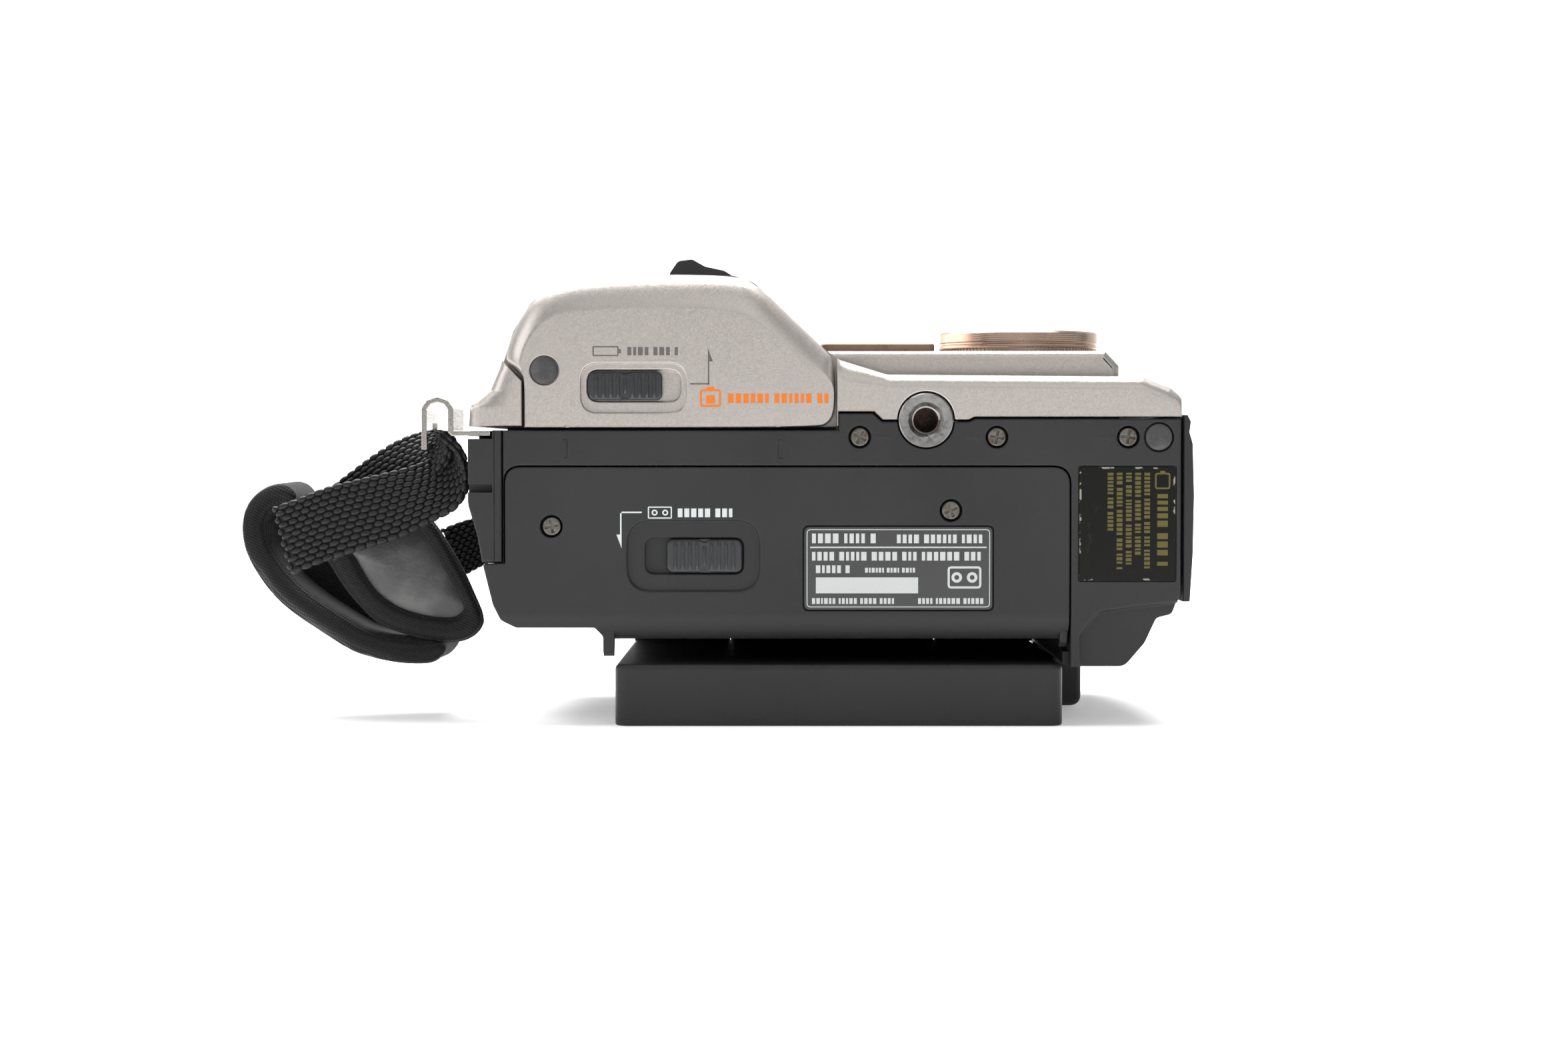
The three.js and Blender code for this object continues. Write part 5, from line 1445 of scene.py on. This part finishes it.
class CAMCORDER_OT_top_controls(bpy.types.Operator):
    """Makes the zoom ring, start button, mode dial and the two round buttons on the top"""

    bl_idname = "camcorder.top_controls"
    bl_label = "Top controls"

    def execute(self, context):
        x, z, inner, outer = ZOOM["x"], ZOOM["z"], ZOOM["inner"], ZOOM["outer"]
        low, high = FAR + 0.3, FAR + 3.1
        profile = [(inner, low), (outer, low), (outer, high - 0.7), (outer - 0.3, high - 0.2),
                   (outer - 0.9, high), (inner + 0.5, high), (inner, high - 0.4)]
        lever = turned("zoom_ring", "y", x, z, profile, 96)
        tab = outline([
            (x - 8, z + 6), (x + 9, z + 6), (x + 8.6, 98.6, 1), (x + 6.4, 100, 2), (x + 1.8, 101, 3),
            (x - 1.2, 102.7, 1), (x - 4.6, 102.3, 1.6), (x - 6.6, 99.4, 2)], 10)
        tab = slab("tab", tab, low, high, end=0.9)
        lever = weld(lever, carve(tab, rod("bore", "y", x, z, FAR, FAR + 9, inner + 1, 64)))
        place_piece(lever, "zoom_lever", "knob_plastic", knob_plastic, "zoom_lever")
        rib = slab("rib", rectangle(-0.3, 0.3, -3, 3, 0.25, 4), -0.2, 0.35, end=0.2, steps=2)
        spots = [((x + u, high - 0.1, z + 15.5), (0, 0, 0), (1, 1, 1)) for u in (-3.2, -1.9, -0.6, 0.7, 2.0)]
        ribs = copies("zoom_tab_ribs", rib, spots, material(knob_plastic))
        place_piece(ribs, "zoom_lever", "knob_plastic", knob_plastic)

        radius, base = inner - 1, FAR - 1.5
        profile = [(0, base), (radius, base), (radius, base + 4.2), (radius - 0.3, base + 4.8),
                   (radius - 0.9, base + 5), (radius - 2.2, base + 4.6), (0, base + 4.1)]
        button = turned("record_button", "y", x, z, profile, 72)
        place_piece(button, "start_button", "button_red", button_red, "start_button")

        u, v, wide = DIAL["x"], DIAL["z"], DIAL["radius"]
        base = FAR - 1.3
        profile = [(0, base - 2), (2, base - 2), (2, base), (wide - 0.35, base), (wide - 0.35, base + 2.6),
                   (wide - 1, base + 3.2), (0, base + 3.2)]
        dial = turned("selector_dial", "y", u, v, profile, 96)
        grip = rectangle(u - 1.2, u + 1.2, v - 7, v + 7, 0.8)
        dial = weld(dial, slab("grip", grip, base + 2.7, base + 4.2, end=0.4))
        dial = grown(dial, ridges_tree, material(knob_plastic), count=60, radius=(wide - 0.35) * MM,
                     ridge=(0.0005, 0.0004, 0.0022), centre=(u * MM, (base + 1.5) * MM, v * MM),
                     turn=(math.pi / 2, 0, 0))
        place_piece(dial, "mode_dial", "knob_plastic", knob_plastic, "mode_dial")
        for k, (u, v) in enumerate(TOP_BUTTONS):
            profile = [(0, FAR - 2.2), (3.2, FAR - 2.2), (3.2, FAR + 0.4), (2.9, FAR + 0.8), (2.3, FAR + 0.9),
                       (1.4, FAR + 0.6), (0, FAR + 0.5)]
            cap = turned(f"round_button_{k + 1}", "y", u, v, profile, 48)
            place_piece(cap, f"top_button_{k + 1}", "knob_plastic", knob_plastic, f"top_button_{k + 1}")
        return {"FINISHED"}


class CAMCORDER_OT_lens_side(bpy.types.Operator):
    """Makes the swinging socket cover, the sockets' finish and the sticker on the lens side"""

    bl_idname = "camcorder.lens_side"
    bl_label = "Lens side"

    def execute(self, context):
        x = 71.5
        section = outline([
            (x + 1.4, 25.8, 0.4), (x + 2, 36, 4), (x + 2.2, 48, 4), (x + 1.9, 58.6, 1), (x + 1.2, 61, 0.8),
            (x + 1.5, 63.2, 0.6), (x + 0.8, 64.6, 0.3), (x, 64.6), (x, 25.8)], 6)
        cover = slab("socket_cover", section, -42, 14, start=0.3, end=0.3)
        grooves = [box("groove", 73.35, 74, -38 + 3 * k, -37.4 + 3 * k, 57, 60) for k in range(4)]
        cover = carve(cover, *grooves, box("thumb", 73.1, 75, 8, 13, 40, 50))
        place_piece(cover, "jack_cover", "dark_plastic", dark_plastic, "jack_cover")
        dress(contact_brass, "socket_1")
        dress(black_moulding, "socket_2", "socket_3")

        surface = NEAR + 0.05
        plate = rectangle(49.8, 69.6, 30.3, 53.8, 0.6)
        sticker = slab("side_sticker", plate, surface, NEAR + 0.45, start=0.08)
        place_piece(sticker, "camera_body", "label", sticker_black, "side_label")
        columns = []
        for k, (top, height) in enumerate(((52.6, 20), (52.6, 17), (52.6, 19), (52.6, 20), (52.6, 12))):
            right = 64.6 - 1.9 * k
            columns += letter_bars(-top, height - top, right - 1.4, right - 0.2, surface, 40 + k, 0.015)
        columns = join("columns", columns)
        upright = Matrix(((0, 0, 1, 0), (0, 1, 0, 0), (-1, 0, 0, 0), (0, 0, 0, 1)))
        columns.data.transform(upright)
        sign = [frame_line(65.4, 68.6, 49.2, 52.6, 0.6, 0.35, surface, 0.015),
                mark(66.5, 67.5, 52.6, 53, surface, rise=0.015)]
        bold = join("bold", letter_bars(-48.2, -32.4, 65.9, 68.1, surface, 60, 0.015))
        bold.data.transform(upright)
        place_piece(join("side_sticker_print", [columns, bold, *sign]), "camera_body", "label", ink_yellow)
        return {"FINISHED"}


# ---------------------------------------------------------------- hand strap


def along(points, count):
    """Points evenly spaced along a smooth curve through a few given ones."""
    padded = [points[0] * 2 - points[1], *points, points[-1] * 2 - points[-2]]
    fine = []
    for a, b, c, d in zip(padded, padded[1:], padded[2:], padded[3:]):
        for k in range(16):
            t = k / 16
            square, cube = 2 * a - 5 * b + 4 * c - d, 3 * b - a - 3 * c + d
            fine.append(0.5 * (2 * b + (c - a) * t + square * t**2 + cube * t**3))
    fine.append(points[-1])
    reach = [0.0]
    for a, b in zip(fine, fine[1:]):
        reach.append(reach[-1] + (b - a).length)
    spaced, k = [], 0
    for i in range(count):
        goal = reach[-1] * i / (count - 1)
        while k < len(fine) - 2 and reach[k + 1] < goal:
            k += 1
        span = reach[k + 1] - reach[k]
        spaced.append(fine[k].lerp(fine[k + 1], (goal - reach[k]) / span if span else 0))
    return spaced


def back_of(points, y):
    """Points (x, z) at a depth, which the front view shows in line with the same points on the underside."""
    eye_x, eye_z, reach = -11.4, 57.0, 550.0
    scale = 1 + (y - NEAR) / reach
    return [Vector((eye_x + (x - eye_x) * scale, y, eye_z + (z - eye_z) * scale)) for x, z in points]


def band(name, upper, lower, thick, finish):
    """Woven webbing between two edges (x, z, y): a thin core under staggered oval strands on both faces."""
    upper, lower = [[Vector((x, y, z)) for x, z, y in edge] for edge in (upper, lower)]
    sizes = bpy.context.scene.camcorder_sizes
    strand, rows = sizes.strand / MM, sizes.strand_rows
    length_mm = sum((b - a).length for a, b in zip(upper, upper[1:]))
    steps = max(8, round(length_mm / (strand * 0.92)))
    top, low = along(upper, 2 * steps + 1), along(lower, 2 * steps + 1)
    normals = []
    for i in range(2 * steps + 1):
        after, before = min(i + 1, 2 * steps), max(i - 1, 0)
        ahead = (top[after] + low[after]) - (top[before] + low[before])
        normals.append((top[i] - low[i]).cross(ahead).normalized())
    work = bmesh.new()
    rings = []
    half = thick * 0.2
    for a, b, n in zip(top, low, normals):
        inside_a, inside_b = a.lerp(b, 0.03), b.lerp(a, 0.03)
        ring = [inside_a + n * half, inside_b + n * half, inside_b - n * half, inside_a - n * half]
        rings.append([work.verts.new(p * MM) for p in ring])
    for front, back in zip(rings, rings[1:]):
        for i in range(4):
            j = (i + 1) % 4
            work.faces.new((front[i], front[j], back[j], back[i]))
    work.faces.new(rings[0])
    work.faces.new(rings[-1])
    core = from_bmesh(name + "_core", work)

    draw = random.Random(name)
    spots = []
    for side in (-1, 1):
        for row in range(rows):
            for i in range(row % 2, 2 * steps + 1, 2):
                across = (row + 0.5) / rows
                here = top[i].lerp(low[i], across)
                after = top[min(i + 1, 2 * steps)].lerp(low[min(i + 1, 2 * steps)], across)
                before = top[max(i - 1, 0)].lerp(low[max(i - 1, 0)], across)
                forward = (after - before).normalized()
                out = normals[i] * side
                sideways = out.cross(forward).normalized()
                turn = Matrix((forward, sideways, out)).transposed().to_euler()
                turn.rotate_axis("Z", draw.uniform(-0.09, 0.09))
                wide = (top[i] - low[i]).length / rows * 0.56
                long_half = (after - before).length * draw.uniform(0.53, 0.58)
                spots.append((here + out * thick * 0.26, tuple(turn), (long_half, wide, thick * 0.3)))
    work = bmesh.new()
    bmesh.ops.create_uvsphere(work, u_segments=10, v_segments=6, radius=MM)
    for vert in work.verts:
        flat = vert.co / MM
        vert.co.x = MM * math.copysign(abs(flat.x) ** 0.8, flat.x)
    shape = from_bmesh("strand", work)
    strands = copies(name + "_strands", shape, spots, finish)
    return join(name, [core, strands])


def puffed(piece, voxel, cap, pressure=4.0):
    """Blows a padded piece up a little by cloth simulation, ten times as large, and caps how far it moves."""
    big = 10.0
    piece.data.transform(Matrix.Scale(big, 4))
    remesh = piece.modifiers.new("remesh", "REMESH")
    remesh.mode = "VOXEL"
    remesh.voxel_size = voxel * MM * big
    piece = baked(piece)
    rest = [vert.co.copy() for vert in piece.data.vertices]
    cloth = piece.modifiers.new("cloth", "CLOTH")
    cloth.settings.quality = 5
    cloth.settings.use_pressure = True
    cloth.settings.uniform_pressure_force = pressure
    cloth.settings.effector_weights.gravity = 0
    cloth.point_cache.frame_start, cloth.point_cache.frame_end = 1, 20
    scene = bpy.context.scene
    scene.frame_start, scene.frame_end = 1, 20
    for moment in range(1, 21):
        scene.frame_set(moment)
    piece = baked(piece)
    scene.frame_set(1)
    most = cap * MM * big
    for vert, home in zip(piece.data.vertices, rest):
        moved = vert.co - home
        if moved.length > most:
            vert.co = home + moved.normalized() * most
    piece.data.transform(Matrix.Scale(1 / big, 4))
    smooth = piece.modifiers.new("smooth", "SUBSURF")
    smooth.levels = smooth.render_levels = 1
    return shaded(baked(piece), 80)


def sleeve_shape(path, thick, near, far):
    """A pad that follows a path, with round edges at its near and far sides."""
    count = 56
    middle = along(path, count)
    work = bmesh.new()
    rings = []
    for i, point in enumerate(middle):
        ahead = middle[min(i + 1, count - 1)] - middle[max(i - 1, 0)]
        side = Vector((-ahead.z, 0, ahead.x)).normalized()
        taper = math.sin(math.pi / 2 * min(1, (i + 0.6) / 4, (count - 0.4 - i) / 4))
        half = thick / 2 * taper
        ring = []
        for k in range(16):
            a = 2 * math.pi * k / 16
            depth = near + half if math.sin(a) < 0 else far - half
            place = point + side * half * math.cos(a)
            place.y = depth + half * math.sin(a)
            ring.append(work.verts.new(place * MM))
        rings.append(ring)
    for front, back in zip(rings, rings[1:]):
        for i in range(16):
            j = (i + 1) % 16
            work.faces.new((front[i], front[j], back[j], back[i]))
    work.faces.new(rings[0])
    work.faces.new(rings[-1])
    return from_bmesh("pad_sleeve", work)


def ring_cushion(name, outer, inner, near, far):
    """A bound edge: a soft rounded ring between two outlines of matching points (x, y, z)."""
    work = bmesh.new()
    rows = []
    sides = 14
    for a, b in zip(outer, inner):
        middle, reach = (a + b) / 2, (a - b) / 2
        row = []
        for k in range(sides):
            turn = 2 * math.pi * k / sides
            place = middle + reach * math.cos(turn)
            place.y = middle.y + (far - near) / 2 * math.sin(turn)
            row.append(work.verts.new(place * MM))
        rows.append(row)
    for low, high in zip(rows, rows[1:] + rows[:1]):
        for i in range(sides):
            j = (i + 1) % sides
            work.faces.new((low[i], low[j], high[j], high[i]))
    return from_bmesh(name, work)


def closed_curve(points, count):
    """Evenly spaced points round a closed smooth curve."""
    loop = along([points[-1], *points, points[0], points[1]], 4 * count)
    start = min(range(len(loop)), key=lambda i: (loop[i] - points[0]).length)
    end = max(range(len(loop) // 2, len(loop)), key=lambda i: -(loop[i] - points[0]).length)
    ring = loop[start:end]
    return [ring[int(i * len(ring) / count)] for i in range(count)]


PAD_PATH = [(-111.8, 47.2), (-114.6, 48.3), (-117.6, 47.6), (-120, 45.6), (-121.2, 42.4), (-120.9, 38.2),
            (-119, 33.8), (-115.6, 29), (-110.8, 24.9), (-105, 21), (-99, 17.6), (-92, 15.9), (-85, 15.7),
            (-81.4, 17)]
PANEL_OUTER = [(-107, 37.6), (-105.4, 33.4), (-102.6, 28.9), (-99.5, 25.1), (-95.4, 21.3), (-88.9, 18.7),
               (-82.1, 17.3), (-77.4, 17.7), (-74.3, 19.8), (-73.5, 22.6), (-75.7, 27.7), (-78, 32.7),
               (-81.4, 38.7), (-85, 43.6), (-91, 46.4), (-99, 45)]
PANEL_INNER = [(-101.6, 38.4), (-99.6, 35.2), (-97.6, 31.4), (-95, 28), (-91, 25.2), (-86.6, 23.7),
               (-82.4, 23), (-79.6, 23), (-78.2, 24), (-77.6, 25.8), (-79.4, 29.6), (-81.6, 33),
               (-84.4, 37.8), (-87, 41), (-91.4, 42.6), (-97.6, 42)]


class CAMCORDER_OT_hand_strap(bpy.types.Operator):
    """Makes the steel bail, the woven webbing and the padded, knit-bound strap"""

    bl_idname = "camcorder.hand_strap"
    bl_label = "Hand strap"

    def execute(self, context):
        near, far = -41.0, -22.6
        arch = [
            (-72.4, 60.2), (-80.4, 60.2, 0.5), (-81.2, 61, 0.5), (-81.2, 65.6, 0.7), (-82, 66.8, 0.7),
            (-83.4, 67.2, 0.7), (-84.8, 66.8, 0.7), (-85.6, 65.6, 0.7), (-85.6, 57.4), (-86.7, 57.4),
            (-86.7, 66, 0.9), (-85.6, 67.6, 0.9), (-83.4, 68.4, 0.9), (-81.2, 67.6, 0.9), (-80.1, 66, 0.9),
            (-80.1, 61.3, 0.3), (-72.4, 61.3)]
        bail = slab("bail", outline(arch, 6), near, far, start=0.16, end=0.16, steps=3)
        bail = carve(bail, box("window", -90, -82, near + 1.4, far - 1.4, 58.6, 63))
        place_piece(bail, "camera_body", "bright_steel", brushed_steel, "strap_bail")

        yarn = material(strap_weave)
        front_top = [(-117.9, 45.5, -37.4), (-113.5, 47, -37.6), (-107.1, 49.5, -37.6), (-100.3, 51.2, -37.4),
                     (-94.6, 52.5, -37), (-88.9, 53.9, -35.4), (-84.6, 55.8, -31.6), (-82.2, 58.4, -27),
                     (-83, 60.4, -24.9)]
        front_low = [(-114.1, 31.2, -37.8), (-109.6, 33.1, -38.2), (-104, 35, -38.4), (-98, 36.9, -38.6),
                     (-91.6, 38.9, -38.8), (-85, 42.2, -39), (-79.6, 45.4, -39.2), (-77.3, 50.4, -39.3),
                     (-78.6, 56.4, -39.3), (-82.6, 60.4, -39.1)]
        back_top = [(-82.6, 60.7, -24.9), (-87.6, 60.9, -25.6), (-92.6, 59.4, -27.8), (-97.4, 56.7, -29.8),
                    (-102.6, 52.9, -31), (-107.6, 49, -31.6), (-112, 45, -32)]
        back_low = [(-81.0, 59.6, -38.4), (-82.2, 54.6, -37.2), (-86.4, 49.8, -35.6), (-92.2, 45.6, -34.6),
                    (-97.6, 42.2, -34), (-102, 38, -33.6), (-106, 33.6, -33.2)]
        front = band("webbing_front", front_top, front_low, 2.0, yarn)
        place_soft(shaded(front, 80), "webbing", strap_weave, "strap_webbing_front")
        back = band("webbing_back", back_top, back_low, 1.9, yarn)
        place_soft(shaded(back, 80), "webbing", strap_weave, "strap_webbing_back")
        tail_top = [(-73.4, 43.4, 3), (-78, 42.8, 3), (-83, 41.6, 2.6), (-88, 39.8, 2)]
        tail_low = [(-73.4, 34.2, 3), (-77, 32.4, 3), (-80, 30.8, 2.6), (-84, 28.6, 2)]
        tail = band("webbing_tail", tail_top, tail_low, 1.9, yarn)
        place_soft(shaded(tail, 80), "webbing", strap_weave, "strap_webbing_tail")

        puff = context.scene.camcorder_sizes.pad_puff / MM
        sleeve = sleeve_shape(back_of(PAD_PATH, -29), 5.0, -29.6, -4)
        sleeve = puffed(sleeve, 0.8, puff * 0.4)
        sleeve = place_soft(sleeve, "pad_fabric", pad_knit, "strap_pad")

        lining = slab("pad_lining", [Vector((p.x, p.z)) for p in back_of(PAD_PATH, -11)], -13, -9)
        lining = place_soft(shaded(lining, 80), "pad_fabric", pad_knit)

        outer = closed_curve(back_of(PANEL_OUTER, -25), 72)
        inner = closed_curve(back_of(PANEL_INNER, -25), 72)
        binding = puffed(ring_cushion("pad_binding", outer, inner, -2.9, 2.9), 0.7, puff * 0.35)
        binding = place_soft(binding, "pad_fabric", pad_knit)

        rim = [a.lerp(b, 0.35) for a, b in zip(inner, outer)]
        centre = sum(rim, Vector()) / len(rim)
        work = bmesh.new()
        rows = []
        for k in range(9):
            t = k / 9
            drop = 1.1 * (1 - t) ** 3
            ring = [work.verts.new(Vector((p.x, -26.6 + drop * 1.2 - 0.9 * (1 - (1 - t) ** 2), p.z)) * MM)
                    for p in (q.lerp(centre, t) for q in rim)]
            rows.append(ring)
        for low, high in zip(rows, rows[1:]):
            for i in range(len(low)):
                j = (i + 1) % len(low)
                work.faces.new((low[i], low[j], high[j], high[i]))
        tip = work.verts.new(Vector((centre.x, -27.5, centre.z)) * MM)
        for i in range(len(rim)):
            work.faces.new((rows[-1][i], rows[-1][(i + 1) % len(rim)], tip))
        back_ring = [work.verts.new(Vector((p.x, -23.4, p.z)) * MM) for p in rim]
        for i in range(len(rim)):
            j = (i + 1) % len(rim)
            work.faces.new((rows[0][i], rows[0][j], back_ring[j], back_ring[i]))
        work.faces.new(back_ring)
        leather = from_bmesh("pad_face", work)
        leather = place_soft(shaded(leather, 80), "pad_fabric", pad_leather)
        return {"FINISHED"}


# ---------------------------------------------------------------- stage


def aimed(piece, target):
    piece.rotation_euler = (Vector(target) - piece.location).to_track_quat("-Z", "Y").to_euler()


class CAMCORDER_OT_stage(bpy.types.Operator):
    """Makes the pale floor, the soft lights and the camera"""

    bl_idname = "camcorder.stage"
    bl_label = "Stage"

    def execute(self, context):
        scene = context.scene
        sweep = outline([(-3, 0), (1.4, 0, 0.9), (1.4, 2.6)], 16)
        work = bmesh.new()
        rows = [[work.verts.new((x, p.x, p.y)) for p in sweep] for x in (-3, 3)]
        for i in range(len(sweep) - 1):
            work.faces.new((rows[0][i], rows[0][i + 1], rows[1][i + 1], rows[1][i]))
        floor = from_bmesh("floor", work)
        floor.data.materials.append(material(pale_floor))

        world = bpy.data.worlds.new("studio")
        world.use_nodes = True
        tree = world.node_tree
        back = tree.nodes["Background"]
        path = tree.nodes.new("ShaderNodeLightPath")
        level = tree.nodes.new("ShaderNodeMapRange")
        level.inputs[3].default_value = 0.22
        level.inputs[4].default_value = 1.0
        tree.links.new(path.outputs["Is Camera Ray"], level.inputs[0])
        tree.links.new(level.outputs[0], back.inputs["Strength"])
        back.inputs["Color"].default_value = (1, 1, 1, 1)
        scene.world = world
        scene.view_settings.view_transform = "Standard"
        lamps = (("top_light", (-0.1, 0.3, 0.9), 1.0, 34), ("front_light", (0.3, -1.2, 0.8), 1.0, 3.5),
                 ("left_light", (-1.0, -0.3, 0.5), 0.6, 3.5))
        for name, place, size, power in lamps:
            lamp = bpy.data.lights.new(name, "AREA")
            lamp.shape, lamp.size, lamp.energy = "SQUARE", size, power
            light = bpy.data.objects.new(name, lamp)
            light.location = place
            aimed(light, (-0.01, 0, 0.05))
            scene.collection.objects.link(light)

        camera = bpy.data.objects.new("camera", bpy.data.cameras.new("camera"))
        camera.location = (-0.0114, -0.593, 0.057)
        camera.data.lens = 61
        camera.data.sensor_width = 36
        camera.data.clip_start = 0.01
        aimed(camera, (-0.0114, -0.043, 0.0423))
        scene.collection.objects.link(camera)
        scene.camera = camera
        return {"FINISHED"}


# ---------------------------------------------------------------- add-on

PIECE_OPERATORS = (
    CAMCORDER_OT_screen, CAMCORDER_OT_dark_shells, CAMCORDER_OT_silver_shell, CAMCORDER_OT_battery_door,
    CAMCORDER_OT_cassette_door, CAMCORDER_OT_fasteners, CAMCORDER_OT_lens, CAMCORDER_OT_top_controls,
    CAMCORDER_OT_lens_side, CAMCORDER_OT_hand_strap, CAMCORDER_OT_stage,
)


class CAMCORDER_PT_pieces(bpy.types.Panel):
    """Lists the steps that build the camcorder"""

    bl_idname = "CAMCORDER_PT_pieces"
    bl_label = "Tape Camcorder"
    bl_space_type = "VIEW_3D"
    bl_region_type = "UI"
    bl_category = "Camcorder"

    def draw(self, context):
        column = self.layout.column()
        for values in (context.scene.camcorder_colours, context.scene.camcorder_sizes):
            for key in values.bl_rna.properties.keys():
                if key not in {"rna_type", "name"}:
                    column.prop(values, key)
        for operator in PIECE_OPERATORS:
            column.operator(operator.bl_idname)


CLASSES = (CamcorderColours, CamcorderSizes, *PIECE_OPERATORS, CAMCORDER_PT_pieces)


def register():
    for kind in CLASSES:
        bpy.utils.register_class(kind)
    bpy.types.Scene.camcorder_colours = PointerProperty(type=CamcorderColours)
    bpy.types.Scene.camcorder_sizes = PointerProperty(type=CamcorderSizes)


def unregister():
    del bpy.types.Scene.camcorder_colours
    del bpy.types.Scene.camcorder_sizes
    for kind in reversed(CLASSES):
        bpy.utils.unregister_class(kind)


def main():
    register()
    for operator in PIECE_OPERATORS:
        group, name = operator.bl_idname.split(".")
        getattr(getattr(bpy.ops, group), name)()


if __name__ == "__main__":
    main()
